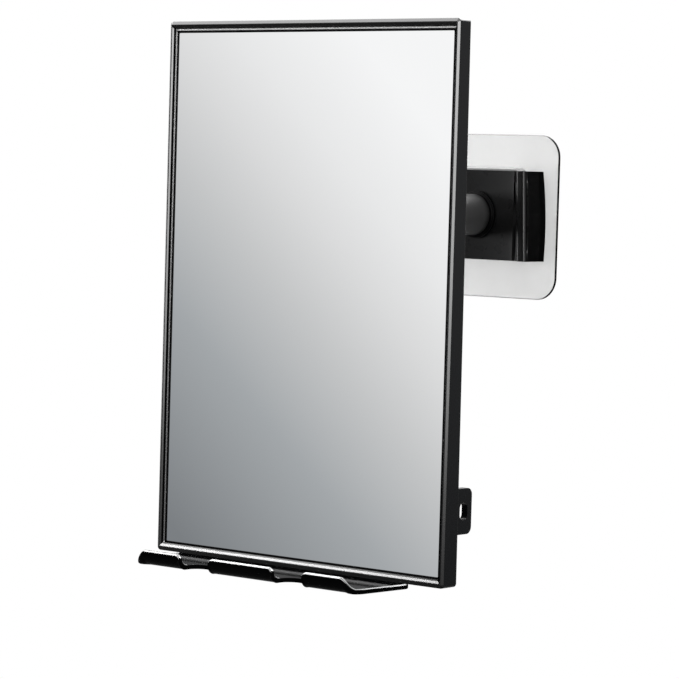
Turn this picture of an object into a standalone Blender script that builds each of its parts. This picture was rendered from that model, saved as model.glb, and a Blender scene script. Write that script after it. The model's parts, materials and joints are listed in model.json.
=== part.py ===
"""Shower shaving mirror on an adhesive wall pad, with a ball joint and a razor tray.

The wall is the plane y = 0, the mirror looks along -Y and +Z is up. The origin is the
centre of the adhesive face that sticks to the wall. A place given as "out" is a distance
from the wall, so its y is minus that distance. All sizes are in metres.
"""
import math

import bmesh
import bpy
from mathutils import Matrix, Vector

# Fits that the whole object shares
SEAT_GAP = 0.0003
CUT_OVERRUN = 0.002
MERGE_DISTANCE = 0.000001

# Adhesive wall pad and its square ring
PAD_SIZE = 0.080
PAD_CORNER = 0.011
ADHESIVE_THICKNESS = 0.0006
ADHESIVE_MARGIN = 0.001
SHEET_THICKNESS = 0.0012
RING_SIZE = 0.045
RING_CORNER = 0.0055
RING_BAND = 0.0065
RING_WINDOW_CORNER = 0.0015
RING_HEIGHT = 0.0045
RING_RISE = 0.0014
GROOVE_DEPTH = 0.0018
GROOVE_WIDTH = 0.0017
GROOVE_FLOOR = 0.0010
GROOVE_STOP = 0.0024

# Wall bracket
BRACKET_HEIGHT = 0.0436
BRACKET_RISE = 0.0005
BRACKET_BASE_WIDTH = 0.0652
BRACKET_RIDGE_SPAN = 0.0640
BRACKET_DEPTH = 0.0178
RIDGE_WIDTH = 0.0056
RIDGE_ROUND = 0.0010
RIDGE_STEP = 0.0028
PLATE_HOLLOW = 0.0012
SIDE_BULGE = 0.0006

# Arm and its socket on the bracket
BOSS_WALL = 0.0017
BOSS_LENGTH = 0.0290
BOSS_FLARE = 0.0012
BOSS_BASE = 0.0033
ARM_RADIUS = 0.0080
ARM_WALL = 0.0020
INSERT_LENGTH = 0.0100
ARM_SCREW_RADIUS = 0.0014
ARM_SCREW_BITE = 0.0076
ARM_SCREW_HEAD_RADIUS = 0.0036
ARM_SCREW_HEAD_HEIGHT = 0.0022
SCREW_WELL_RADIUS = 0.0080
SCREW_SEAT_WALL = 0.0057
WASHER_RADIUS = 0.0048
WASHER_THICKNESS = 0.0008
HOLE_PLAY = 0.0003
SCREW_CROWN_SHARES = (0.8, 0.9)
SCREW_BITE_SHARE = 0.65

# Ball joint
BALL_RADIUS = 0.0090
NECK_RADIUS = 0.0040
NECK_LENGTH = 0.0090
NECK_FLARE = 0.0030
SHOULDER_LENGTH = 0.0020
SPIGOT_LENGTH = 0.0150
SPIGOT_CHAMFER = 0.0006
PIN_RADIUS = 0.0010
PIN_INSET = 0.0004
SEAT_THICKNESS = 0.0016
FRONT_SEAT_DEGREES = (18.0, 55.0)
REAR_SEAT_DEGREES = (86.0, 116.0)
HOUSING_FLOOR = 0.0016
HOUSING_WALL = 0.0038
HOUSING_RIM = 0.0015
FLANGE_MARGIN = 0.0040
FLANGE_THICKNESS = 0.0030
COLLAR_WALL = 0.0022
COLLAR_LIP = 0.0026
COLLAR_MOUTH_PLAY = 0.0022
COLLAR_ROUND = 0.0010
COLLAR_GRIP = 0.0007
JOINT_SCREW_SPACE = 0.0008
JOINT_SCREW_RADIUS = 0.0010
JOINT_SCREW_HEAD_RADIUS = 0.0020
JOINT_SCREW_HEAD_HEIGHT = 0.0014
JOINT_SCREW_COUNT = 4

# Mirror casing
MIRROR_WIDTH = 0.1722
MIRROR_HEIGHT = 0.2508
MIRROR_OUT = 0.1449
MIRROR_DROP = 0.0379
CASING_CORNER = 0.0018
CASING_BACK_ROUND = 0.0006
BEZEL_SIDE = 0.0037
BEZEL_END = 0.0047
GLASS_RECESS = 0.0019
GLASS_HOLD = 0.0012
GLASS_THICKNESS = 0.0020
BACKING_THICKNESS = 0.0013
BEAD_DEPTH = 0.0016
GROOVE_BELOW_BEAD = 0.0013
LIP_BELOW_BEAD = 0.0009
BEZEL_BEAD_SHARES = ((0.0, 1.0), (0.05, 0.44), (0.16, 0.12), (0.30, 0.0), (0.44, 0.12))
BEZEL_GROOVE_SHARES = (0.66, 0.74)
BEZEL_LIP_SHARES = (0.80, 0.90)
INNER_CORNER = 0.0006

# Back cover
COVER_SINK = 0.0003
COVER_THICKNESS_TOP = 0.0023
COVER_THICKNESS_BOTTOM = 0.0042
COVER_WALL = 0.0014
COVER_MARGIN = 0.0150
COVER_RIB = 0.0016
POCKET_COLUMNS = 3
POCKET_ROWS = 5
JOINT_PAD_MARGIN = 0.0012
JOINT_PAD_STAND = 0.0006
CLIP_LENGTH = 0.0070
CLIP_THICKNESS = 0.0010
CLIP_REACH = 0.0009
CLIP_HEIGHT_SHARES = (-0.36, 0.02, 0.38)

# Razor tray
TRAY_REACH = 0.0380
TRAY_SETBACK = 0.0008
TRAY_FRONT_WIDTH = 0.1340
TRAY_REAR_WIDTH = 0.1380
TRAY_FRONT_CORNER = 0.0090
TRAY_REAR_CORNER = 0.0030
TRAY_PLATE = 0.0018
TRAY_LIP_RISE = 0.0055
TRAY_LIP_BEND = 0.0060
TRAY_LIP_WALL = 0.0018
BEND_MOST_SHARE = 0.9
TRAY_RIM_RISE = 0.0004
TRAY_RIM_BEND = 0.0010
TRAY_RIM_WALL = 0.0014
TRAY_EDGE_BEND = 0.0004
TRAY_BEND_STEPS = 4
TRAY_CORNER_STEPS = 12
LIP_FALL_DEGREES = (2.0, 55.0)
NOTCH_OFFSET = 0.0278
NOTCH_WIDTH = 0.0178
NOTCH_DEPTH = 0.0130
NOTCH_SHOULDER = 0.0022
NOTCH_SHOULDER_DEGREES = (0.0, 30.0, 60.0, 85.0)
NOTCH_END_RADIUS = 0.0060
TAB_OFFSET = 0.0220
TAB_WIDTH = 0.0140
TAB_THICKNESS = 0.0022
TAB_OVERLAP = 0.0013
TAB_ROOT = 0.0032
TRAY_SCREW_RADIUS = 0.0010
TRAY_SCREW_HEAD_RADIUS = 0.0020
TRAY_SCREW_HEAD_HEIGHT = 0.0012

# Side loop behind the right edge
LOOP_HEIGHT = 0.0206
LOOP_RISE = 0.0334
LOOP_BAND = 0.0030
LOOP_THICKNESS = 0.0033
LOOP_INSET = 0.0010
LOOP_CORNER = 0.0032
LOOP_HOLE_WIDTH = 0.0056
LOOP_HOLE_HEIGHT = 0.0080
LOOP_HOLE_SETBACK = 0.0018
LOOP_HOLE_ROUND_SHARE = 0.45
LOOP_FOOT_LENGTH = 0.0110
LOOP_FOOT_THICKNESS = 0.0022
LOOP_SCREW_SETBACK = 0.0070

# Fineness of round shapes, in counts
CORNER_STEPS = 6
TURN_STEPS = 32
SCREW_STEPS = 14
ARC_STEPS = 8
SEAT_STEPS = 4
COLLAR_STEPS = 48
GRIP_STEPS = 4

# Stack of the wall pad, as places out from the wall
SHEET_BACK = ADHESIVE_THICKNESS + SEAT_GAP
SHEET_FRONT = SHEET_BACK + SHEET_THICKNESS
RING_BACK = SHEET_FRONT + SEAT_GAP
RING_FRONT = RING_BACK + RING_HEIGHT
GROOVE_BACK = RING_BACK + GROOVE_FLOOR
GROOVE_FRONT = GROOVE_BACK + GROOVE_WIDTH
BRACKET_BACK = SHEET_FRONT + SEAT_GAP
PLATE_OUT = BRACKET_DEPTH - RIDGE_STEP - PLATE_HOLLOW
BOSS_FLOOR = PLATE_OUT + BOSS_BASE
BOSS_END = PLATE_OUT + BOSS_LENGTH
SCREW_WELL_FLOOR = BOSS_FLOOR - SCREW_SEAT_WALL
ARM_START = BOSS_FLOOR + SEAT_GAP
BOSS_RADIUS = ARM_RADIUS + SEAT_GAP + BOSS_WALL

# Stack of the mirror, as places out from the wall
ARM_Z = BRACKET_RISE
MIRROR_Z = ARM_Z - MIRROR_DROP
MIRROR_TOP = MIRROR_Z + MIRROR_HEIGHT / 2
MIRROR_BOTTOM = MIRROR_Z - MIRROR_HEIGHT / 2
GLASS_FRONT = MIRROR_OUT - GLASS_RECESS - SEAT_GAP
GLASS_BACK = GLASS_FRONT - GLASS_THICKNESS
BACKING_FRONT = GLASS_BACK - SEAT_GAP
BACKING_BACK = BACKING_FRONT - BACKING_THICKNESS
COVER_FRONT = BACKING_BACK - SEAT_GAP


def cover_back(z):
    """Place of the cover's rear face at a height; the cover thickens towards the bottom."""
    share = (MIRROR_TOP - z) / MIRROR_HEIGHT
    more = (COVER_THICKNESS_BOTTOM - COVER_THICKNESS_TOP) * share
    return COVER_FRONT - COVER_THICKNESS_TOP - more


def casing_back(z):
    """Place of the frame's rear edge at a height."""
    return cover_back(z) - COVER_SINK


SOCKET_RADIUS = BALL_RADIUS + SEAT_GAP + SEAT_THICKNESS + SEAT_GAP
HOUSING_RADIUS = SOCKET_RADIUS + HOUSING_WALL
COLLAR_RADIUS = HOUSING_RADIUS + SEAT_GAP + COLLAR_WALL
JOINT_SCREW_CIRCLE = COLLAR_RADIUS + COLLAR_GRIP + JOINT_SCREW_SPACE + JOINT_SCREW_HEAD_RADIUS
FLANGE_RADIUS = JOINT_SCREW_CIRCLE + FLANGE_MARGIN
JOINT_PAD_RADIUS = FLANGE_RADIUS + JOINT_PAD_MARGIN
JOINT_PAD_BACK = cover_back(ARM_Z - JOINT_PAD_RADIUS) - JOINT_PAD_STAND
FLANGE_FRONT = JOINT_PAD_BACK - SEAT_GAP
BALL_OUT = FLANGE_FRONT - HOUSING_FLOOR - SOCKET_RADIUS
BALL_CENTRE = Vector((0, -BALL_OUT, ARM_Z))
NECK_REACH = BALL_RADIUS + NECK_LENGTH
ARM_END = BALL_OUT - NECK_REACH - SHOULDER_LENGTH - SEAT_GAP
SPIGOT_RADIUS = ARM_RADIUS - ARM_WALL - SEAT_GAP
CASING_WALL_SIDE = BEZEL_SIDE - GLASS_HOLD - SEAT_GAP
CASING_WALL_END = BEZEL_END - GLASS_HOLD - SEAT_GAP
TAB_TOP = MIRROR_BOTTOM - SEAT_GAP
TRAY_UNDERSIDE = TAB_TOP - TAB_OVERLAP
TRAY_LIP_HEIGHT = TRAY_PLATE + TRAY_LIP_RISE
TRAY_RIM_HEIGHT = TRAY_PLATE + TRAY_RIM_RISE
TRAY_FRONT_OUT = MIRROR_OUT + TRAY_REACH
TRAY_REAR_OUT = MIRROR_OUT + TRAY_SETBACK
OUTWARDS = Vector((0, -1, 0))
UPWARDS = Vector((0, 0, 1))
SIDEWAYS = Vector((1, 0, 0))


def clear_scene():
    for item in list(bpy.data.objects):
        bpy.data.objects.remove(item, do_unlink=True)


def make_material(name, color, roughness, metallic=0.0, transmission=0.0):
    material = bpy.data.materials.new(name)
    material.use_nodes = True
    shader = material.node_tree.nodes["Principled BSDF"]
    shader.inputs["Base Color"].default_value = (*color, 1.0)
    shader.inputs["Roughness"].default_value = roughness
    shader.inputs["Metallic"].default_value = metallic
    shader.inputs["Transmission Weight"].default_value = transmission
    return material


def link_mesh(name, bm, material):
    """Turn a bmesh into an object with outward faces and smooth round sides."""
    bmesh.ops.recalc_face_normals(bm, faces=bm.faces)
    mesh = bpy.data.meshes.new(name)
    bm.to_mesh(mesh)
    bm.free()
    mesh.shade_smooth()
    mesh.set_sharp_from_angle(angle=math.radians(30.0))
    item = bpy.data.objects.new(name, mesh)
    bpy.context.scene.collection.objects.link(item)
    if material is not None:
        mesh.materials.append(material)
    return item


def set_origin(item, origin):
    """Move the object's origin without moving its shape."""
    item.data.transform(Matrix.Translation(-origin))
    item.location = origin


def carry(name, place, items):
    """Parent pieces that move together to one empty, without moving them."""
    pivot = bpy.data.objects.new(name, None)
    bpy.context.scene.collection.objects.link(pivot)
    pivot.location = place
    for item in items:
        item.parent = pivot
        item.matrix_parent_inverse = Matrix.Translation(-place)


def as_tool(item):
    """Mark a shape that only cuts or joins another."""
    item.hide_render = True
    item.display_type = "WIRE"
    return item


def combine(item, tool, operation):
    modifier = item.modifiers.new(tool.name, "BOOLEAN")
    modifier.operation = operation
    modifier.object = as_tool(tool)


def cut(item, *tools):
    for tool in tools:
        combine(item, tool, "DIFFERENCE")


def fuse(item, *tools):
    for tool in tools:
        combine(item, tool, "UNION")


def rings_to_solid(name, rings, material=None, closed=False):
    """Skin a row of equal rings of points; open rows get a flat cap at each end."""
    bm = bmesh.new()
    loops = [[bm.verts.new(place) for place in ring] for ring in rings]
    pairs = list(zip(loops, loops[1:]))
    if closed:
        pairs.append((loops[-1], loops[0]))
    for lower, upper in pairs:
        for index in range(len(lower)):
            after = (index + 1) % len(lower)
            bm.faces.new((lower[index], lower[after], upper[after], upper[index]))
    if not closed:
        bm.faces.new(loops[0])
        bm.faces.new(loops[-1])
    bmesh.ops.remove_doubles(bm, verts=bm.verts, dist=MERGE_DISTANCE)
    return link_mesh(name, bm, material)


def box(name, low, high, material=None):
    """A block between two corners, each given as (x, out, z)."""
    rings = []
    for z in (low[2], high[2]):
        rings.append([
            (low[0], -low[1], z), (high[0], -low[1], z),
            (high[0], -high[1], z), (low[0], -high[1], z),
        ])
    return rings_to_solid(name, rings, material)


def rounded_outline(half_width, half_height, radius, steps=CORNER_STEPS):
    """Points (across, up) of a rectangle with round corners, anticlockwise."""
    points = []
    for corner, (side, end) in enumerate(((1, 1), (-1, 1), (-1, -1), (1, -1))):
        for step in range(steps + 1):
            angle = math.radians(90.0 * (corner + step / steps))
            points.append((
                side * (half_width - radius) + radius * math.cos(angle),
                end * (half_height - radius) + radius * math.sin(angle),
            ))
    return points


def slab(name, outline, centre_z, out_back, out_front, material=None):
    """An outline in x and z, made thick from one place out to another."""
    rings = []
    for out in (out_back, out_front):
        rings.append([(x, -out, centre_z + z) for x, z in outline])
    return rings_to_solid(name, rings, material)


def arc(radius, start_degrees, end_degrees, steps=ARC_STEPS):
    """Points (radius from the axis, height along it) of an arc about the origin."""
    points = []
    for step in range(steps + 1):
        angle = math.radians(start_degrees + (end_degrees - start_degrees) * step / steps)
        points.append((radius * math.sin(angle), radius * math.cos(angle)))
    return points


def axis_frame(origin, direction):
    turn = direction.to_track_quat("Z", "Y").to_matrix().to_4x4()
    return Matrix.Translation(origin) @ turn


def turned(name, profile, frame, material=None, steps=TURN_STEPS):
    """Spin a profile of (radius, height) about the local Z axis of a frame."""
    bm = bmesh.new()
    verts = [bm.verts.new((radius, 0, height)) for radius, height in profile]
    edges = [bm.edges.new(pair) for pair in zip(verts, verts[1:])]
    if profile[0][0] != 0:
        edges.append(bm.edges.new((verts[-1], verts[0])))
    bmesh.ops.spin(
        bm, geom=verts + edges, axis=UPWARDS, cent=(0, 0, 0),
        angle=math.tau, steps=steps, use_merge=True,
    )
    bmesh.ops.remove_doubles(bm, verts=bm.verts, dist=MERGE_DISTANCE)
    bmesh.ops.transform(bm, matrix=frame, verts=bm.verts)
    return link_mesh(name, bm, material)


def like_screws(name, profile, frames, material):
    """One screw for each frame, numbered, all sharing one mesh."""
    first = turned(f"{name}_1", profile, Matrix.Identity(4), material, SCREW_STEPS)
    screws = [first]
    for number in range(2, len(frames) + 1):
        screw = bpy.data.objects.new(f"{name}_{number}", first.data)
        bpy.context.scene.collection.objects.link(screw)
        screws.append(screw)
    for screw, frame in zip(screws, frames):
        screw.matrix_basis = frame
    return screws


def screw_profile(head_radius, head_height, shank_radius, length):
    """A pan head above the origin and a pointed shank below it."""
    return [
        (0, -length),
        (shank_radius, shank_radius - length),
        (shank_radius, 0),
        (head_radius, 0),
        (head_radius, head_height / 2),
        (head_radius * SCREW_CROWN_SHARES[0], head_height * SCREW_CROWN_SHARES[1]),
        (0, head_height),
    ]


def flat_screw_profile(head_radius, head_height, shank_radius, length):
    """A sunk head whose top face lies at the origin."""
    return [
        (0, -length),
        (shank_radius, shank_radius - length),
        (shank_radius, -head_height),
        (head_radius, 0),
        (0, 0),
    ]


def hole_tool(name, radius, length, frame, steps=SCREW_STEPS):
    """A rod from the frame's origin along its axis, for cutting a round hole."""
    return turned(name, [(0, 0), (radius, 0), (radius, length), (0, length)], frame, steps=steps)


def tube_profile(outer, inner, low, high):
    return [(inner, low), (outer, low), (outer, high), (inner, high)]


def wall_pad(adhesive, clear):
    half = PAD_SIZE / 2
    sticky = half - ADHESIVE_MARGIN
    outline = rounded_outline(sticky, sticky, PAD_CORNER - ADHESIVE_MARGIN)
    slab("wall_adhesive", outline, 0, 0, ADHESIVE_THICKNESS, adhesive)
    outline = rounded_outline(half, half, PAD_CORNER)
    slab("wall_pad", outline, 0, SHEET_BACK, SHEET_FRONT, clear)


def pad_ring(clear):
    """The square ring whose side grooves take the bracket's hooks from above."""
    half = RING_SIZE / 2
    window = half - RING_BAND
    ring = slab("pad_ring", rounded_outline(half, half, RING_CORNER), RING_RISE,
                RING_BACK, RING_FRONT, clear)
    opening = slab("ring_window_tool", rounded_outline(window, window, RING_WINDOW_CORNER),
                   RING_RISE, RING_BACK - CUT_OVERRUN, RING_FRONT + CUT_OVERRUN)
    cut(ring, opening)
    low_z = RING_RISE - half + GROOVE_STOP
    high_z = RING_RISE + half + CUT_OVERRUN
    for side in (-1, 1):
        edges = sorted((side * (half - GROOVE_DEPTH), side * (half + CUT_OVERRUN)))
        cut(ring, box("ring_groove_tool", (edges[0], GROOVE_BACK, low_z),
                      (edges[1], GROOVE_FRONT, high_z)))


def bracket_section():
    """Half of the bracket's level section, from the middle of its front to its back."""
    ridge_outer = BRACKET_RIDGE_SPAN / 2
    ridge_inner = ridge_outer - RIDGE_WIDTH
    plate_edge = BRACKET_DEPTH - RIDGE_STEP
    base = BRACKET_BASE_WIDTH / 2
    pocket_side = RING_SIZE / 2 + SEAT_GAP
    hook_tip = RING_SIZE / 2 - GROOVE_DEPTH + SEAT_GAP
    points = []
    plate_steps = 5
    for step in range(plate_steps + 1):
        share = step / plate_steps
        across = share * ridge_inner
        points.append((across, plate_edge - PLATE_HOLLOW * (1 - share * share)))
    for step in range(4):
        angle = math.radians(180.0 - 30.0 * step)
        points.append((ridge_inner + RIDGE_ROUND * (1 + math.cos(angle)),
                       BRACKET_DEPTH - RIDGE_ROUND + RIDGE_ROUND * math.sin(angle)))
    for step in range(4):
        angle = math.radians(90.0 - 30.0 * step)
        points.append((ridge_outer - RIDGE_ROUND * (1 - math.cos(angle)),
                       BRACKET_DEPTH - RIDGE_ROUND + RIDGE_ROUND * math.sin(angle)))
    points.append((base, BRACKET_BACK))
    points.append((pocket_side, BRACKET_BACK))
    points.append((pocket_side, GROOVE_BACK + SEAT_GAP))
    points.append((hook_tip, GROOVE_BACK + SEAT_GAP))
    points.append((hook_tip, GROOVE_FRONT - SEAT_GAP))
    points.append((pocket_side, GROOVE_FRONT - SEAT_GAP))
    points.append((pocket_side, RING_FRONT + SEAT_GAP))
    return points


def wall_bracket(black):
    half_section = bracket_section()
    mirrored = [(-x, out) for x, out in reversed(half_section[1:])]
    outline = half_section + mirrored
    low_z = BRACKET_RISE - BRACKET_HEIGHT / 2
    base = BRACKET_BASE_WIDTH / 2
    rings = []
    rows = 6
    for row in range(rows + 1):
        share = row / rows
        bulge = SIDE_BULGE * 4 * share * (1 - share)
        ring = []
        for x, out in outline:
            stretch = bulge * x / base if abs(x) > RING_SIZE / 2 + SEAT_GAP else 0
            ring.append((x + stretch, -out, low_z + BRACKET_HEIGHT * share))
        rings.append(ring)
    bracket = rings_to_solid("wall_bracket", rings, black)
    along_arm = axis_frame(Vector((0, 0, ARM_Z)), OUTWARDS)
    boss_root = SCREW_WELL_FLOOR + SEAT_GAP
    profile = [(0, boss_root), (BOSS_RADIUS + BOSS_FLARE, boss_root)]
    for step in range(4):
        angle = math.radians(30.0 * step)
        profile.append((BOSS_RADIUS + BOSS_FLARE * (1 - math.sin(angle)),
                        PLATE_OUT + PLATE_HOLLOW + BOSS_FLARE * (1 - math.cos(angle))))
    profile += [(BOSS_RADIUS, BOSS_END), (0, BOSS_END)]
    fuse(bracket, turned("bracket_boss_tool", profile, along_arm))
    bore = axis_frame(Vector((0, -BOSS_FLOOR, ARM_Z)), OUTWARDS)
    bore_length = BOSS_END - BOSS_FLOOR + CUT_OVERRUN
    cut(bracket, hole_tool("boss_bore_tool", ARM_RADIUS + SEAT_GAP, bore_length, bore, TURN_STEPS))
    well = SCREW_WELL_FLOOR - RING_FRONT + CUT_OVERRUN
    well_frame = axis_frame(Vector((0, CUT_OVERRUN - RING_FRONT, ARM_Z)), OUTWARDS)
    cut(bracket, hole_tool("screw_well_tool", SCREW_WELL_RADIUS, well, well_frame, TURN_STEPS))
    cut(bracket, hole_tool("arm_screw_hole_tool", ARM_SCREW_RADIUS + HOLE_PLAY, BOSS_FLOOR, along_arm))
    hook_end = RING_RISE - RING_SIZE / 2 + GROOVE_STOP + SEAT_GAP
    pocket_side = RING_SIZE / 2 + SEAT_GAP
    cut(bracket, box("hook_end_tool", (-pocket_side, 0, low_z - CUT_OVERRUN),
                     (pocket_side, RING_FRONT + SEAT_GAP, hook_end)))
    return bracket


def arm(black, brass, steel):
    along_arm = axis_frame(Vector((0, 0, ARM_Z)), OUTWARDS)
    inner = ARM_RADIUS - ARM_WALL
    tube = turned("arm_tube", tube_profile(ARM_RADIUS, inner, ARM_START, ARM_END), along_arm, black)
    insert = turned("arm_insert", tube_profile(
        inner - SEAT_GAP, ARM_SCREW_RADIUS + HOLE_PLAY, ARM_START, ARM_START + INSERT_LENGTH,
    ), along_arm, brass)
    washer_back = SCREW_WELL_FLOOR - SEAT_GAP - WASHER_THICKNESS
    washer = turned("arm_washer", tube_profile(
        WASHER_RADIUS, ARM_SCREW_RADIUS + HOLE_PLAY, washer_back, SCREW_WELL_FLOOR - SEAT_GAP,
    ), along_arm, steel)
    head_out = washer_back - SEAT_GAP
    head = Vector((0, -head_out, ARM_Z))
    profile = screw_profile(ARM_SCREW_HEAD_RADIUS, ARM_SCREW_HEAD_HEIGHT, ARM_SCREW_RADIUS,
                            ARM_START + ARM_SCREW_BITE - head_out)
    screw = turned("arm_screw", profile, axis_frame(head, -OUTWARDS), steel, SCREW_STEPS)
    return [tube, insert, washer, screw]


def ball_stud(steel, tube):
    """Ball, neck and spigot in one piece, pinned into the arm."""
    neck_degrees = 180.0 - math.degrees(math.asin(NECK_RADIUS / BALL_RADIUS))
    shoulder = -NECK_REACH
    spigot_start = shoulder - SHOULDER_LENGTH
    spigot_end = spigot_start - SPIGOT_LENGTH
    ball = arc(BALL_RADIUS, 0.0, neck_degrees, 2 * ARC_STEPS)
    profile = ball + [
        (NECK_RADIUS, shoulder + NECK_FLARE), (ARM_RADIUS, shoulder), (ARM_RADIUS, spigot_start),
        (SPIGOT_RADIUS, spigot_start), (SPIGOT_RADIUS, spigot_end + SPIGOT_CHAMFER),
        (SPIGOT_RADIUS - SPIGOT_CHAMFER, spigot_end), (0, spigot_end),
    ]
    stud = turned("ball_stud", profile, axis_frame(BALL_CENTRE, OUTWARDS), steel)
    pin_out = BALL_OUT + spigot_start - SPIGOT_LENGTH / 2
    reach = ARM_RADIUS - PIN_INSET
    start = axis_frame(Vector((-reach, -pin_out, ARM_Z)), SIDEWAYS)
    length = 2 * reach
    profile = [(0, 0), (PIN_RADIUS, 0), (PIN_RADIUS, length), (0, length)]
    pin = turned("stud_pin", profile, start, steel, SCREW_STEPS)
    wide = ARM_RADIUS + CUT_OVERRUN
    hole_start = axis_frame(Vector((-wide, -pin_out, ARM_Z)), SIDEWAYS)
    for item in (stud, tube):
        cut(item, hole_tool("pin_hole_tool", PIN_RADIUS + HOLE_PLAY, 2 * wide, hole_start))
    return [stud, pin]


def joint_seats(nylon):
    """Two nylon seats that the ball turns between."""
    inside = BALL_RADIUS + SEAT_GAP
    outside = inside + SEAT_THICKNESS
    at_ball = axis_frame(BALL_CENTRE, OUTWARDS)
    start, end = FRONT_SEAT_DEGREES
    cup = arc(inside, start, end, SEAT_STEPS) + arc(outside, end, start, SEAT_STEPS)
    front = turned("front_seat", cup, at_ball, nylon)
    start, end = REAR_SEAT_DEGREES
    bore = arc(inside, start, end, SEAT_STEPS)
    rear = turned("rear_seat", bore + [(outside, bore[-1][1]), (outside, bore[0][1])], at_ball, nylon)
    for item in (front, rear):
        set_origin(item, BALL_CENTRE)


def ball_housing(black, steel):
    flange_front = FLANGE_FRONT - BALL_OUT
    flange_back = flange_front - FLANGE_THICKNESS
    socket = arc(SOCKET_RADIUS, 90.0, 0.0)
    profile = [
        (0, flange_front), (FLANGE_RADIUS, flange_front), (FLANGE_RADIUS, flange_back),
        (HOUSING_RADIUS, flange_back), (HOUSING_RADIUS, -HOUSING_RIM), (SOCKET_RADIUS, -HOUSING_RIM),
    ] + socket
    housing = turned("ball_housing", profile, axis_frame(BALL_CENTRE, OUTWARDS), black)
    frames = []
    bite = SCREW_BITE_SHARE * (COVER_FRONT - JOINT_PAD_BACK)
    length = FLANGE_THICKNESS + 2 * SEAT_GAP + bite
    for index in range(JOINT_SCREW_COUNT):
        angle = math.tau * (index + 0.5) / JOINT_SCREW_COUNT
        across = JOINT_SCREW_CIRCLE * math.cos(angle)
        up = JOINT_SCREW_CIRCLE * math.sin(angle)
        out = BALL_OUT + flange_back - SEAT_GAP
        frames.append(axis_frame(Vector((across, -out, ARM_Z + up)), -OUTWARDS))
    profile = screw_profile(JOINT_SCREW_HEAD_RADIUS, JOINT_SCREW_HEAD_HEIGHT,
                            JOINT_SCREW_RADIUS, length)
    screws = like_screws("joint_screw", profile, frames, steel)
    deep = length + SEAT_GAP
    tools = []
    for frame in frames:
        start = frame @ Matrix.Translation((0, 0, -deep))
        tools.append(hole_tool("joint_screw_hole_tool", JOINT_SCREW_RADIUS + HOLE_PLAY,
                               deep + CUT_OVERRUN, start))
    cut(housing, *tools)
    return [housing, *screws], tools


def locking_collar(black):
    """Threaded ring that clamps the rear seat; its grips stand out round the outside."""
    inner = HOUSING_RADIUS + SEAT_GAP
    flange_back = FLANGE_FRONT - BALL_OUT - FLANGE_THICKNESS
    seat_end = arc(BALL_RADIUS + SEAT_GAP, 0.0, REAR_SEAT_DEGREES[1], 1)[-1]
    lip_front = seat_end[1] - SEAT_GAP
    lip_back = lip_front - COLLAR_LIP
    top = flange_back - 2 * SEAT_GAP
    shelf = -HOUSING_RIM - SEAT_GAP
    profile = [
        (inner, top), (COLLAR_RADIUS, top), (COLLAR_RADIUS, lip_back + COLLAR_ROUND),
        (COLLAR_RADIUS - COLLAR_ROUND, lip_back), (seat_end[0] + COLLAR_MOUTH_PLAY, lip_back),
        (seat_end[0] + SEAT_GAP, lip_front), (SOCKET_RADIUS, lip_front),
        (SOCKET_RADIUS, shelf), (inner, shelf),
    ]
    collar = turned("locking_collar", profile, axis_frame(BALL_CENTRE, OUTWARDS), black, COLLAR_STEPS)
    set_origin(collar, BALL_CENTRE)
    stretch = (COLLAR_RADIUS + COLLAR_GRIP) / COLLAR_RADIUS
    for vert in collar.data.vertices:
        radius = math.hypot(vert.co.x, vert.co.z)
        step = round(math.atan2(vert.co.z, vert.co.x) / math.tau * COLLAR_STEPS)
        if radius > COLLAR_RADIUS - MERGE_DISTANCE and step % GRIP_STEPS < GRIP_STEPS / 2:
            vert.co.x *= stretch
            vert.co.z *= stretch
    return collar


def casing_ring(inset_side, inset_end, depth, follows_back=False):
    """One ring of the casing; its depth is from the front, or from the back where it follows it."""
    radius = max(CASING_CORNER - min(inset_side, inset_end), INNER_CORNER)
    outline = rounded_outline(MIRROR_WIDTH / 2 - inset_side, MIRROR_HEIGHT / 2 - inset_end, radius)
    ring = []
    for x, z in outline:
        height = MIRROR_Z + z
        out = casing_back(height) + depth if follows_back else MIRROR_OUT - depth
        ring.append((x, -out, height))
    return ring


def front_frame(black):
    """Bezel with a round outer bead, a groove and a thin inner lip, and the side walls."""
    section = [(share, depth_share * BEAD_DEPTH) for share, depth_share in BEZEL_BEAD_SHARES]
    section += [(share, GROOVE_BELOW_BEAD) for share in BEZEL_GROOVE_SHARES]
    section += [(share, LIP_BELOW_BEAD) for share in BEZEL_LIP_SHARES]
    section.append((1, GROOVE_BELOW_BEAD))
    rings = [casing_ring(share * BEZEL_SIDE, share * BEZEL_END, depth) for share, depth in section]
    rings.append(casing_ring(BEZEL_SIDE, BEZEL_END, GLASS_RECESS))
    rings.append(casing_ring(CASING_WALL_SIDE, CASING_WALL_END, GLASS_RECESS))
    rings.append(casing_ring(CASING_WALL_SIDE, CASING_WALL_END, 0, follows_back=True))
    rings.append(casing_ring(CASING_BACK_ROUND, CASING_BACK_ROUND, 0, follows_back=True))
    rings.append(casing_ring(0, 0, CASING_BACK_ROUND, follows_back=True))
    return rings_to_solid("front_frame", rings, black, closed=True)


def pane_outline():
    half_width = MIRROR_WIDTH / 2 - CASING_WALL_SIDE - SEAT_GAP
    half_height = MIRROR_HEIGHT / 2 - CASING_WALL_END - SEAT_GAP
    return rounded_outline(half_width, half_height, INNER_CORNER)


def glass_and_backing(mirror, foam):
    outline = pane_outline()
    glass = slab("mirror_glass", outline, MIRROR_Z, GLASS_BACK, GLASS_FRONT, mirror)
    backing = slab("glass_backing", outline, MIRROR_Z, BACKING_BACK, BACKING_FRONT, foam)
    return [glass, backing]


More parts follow.
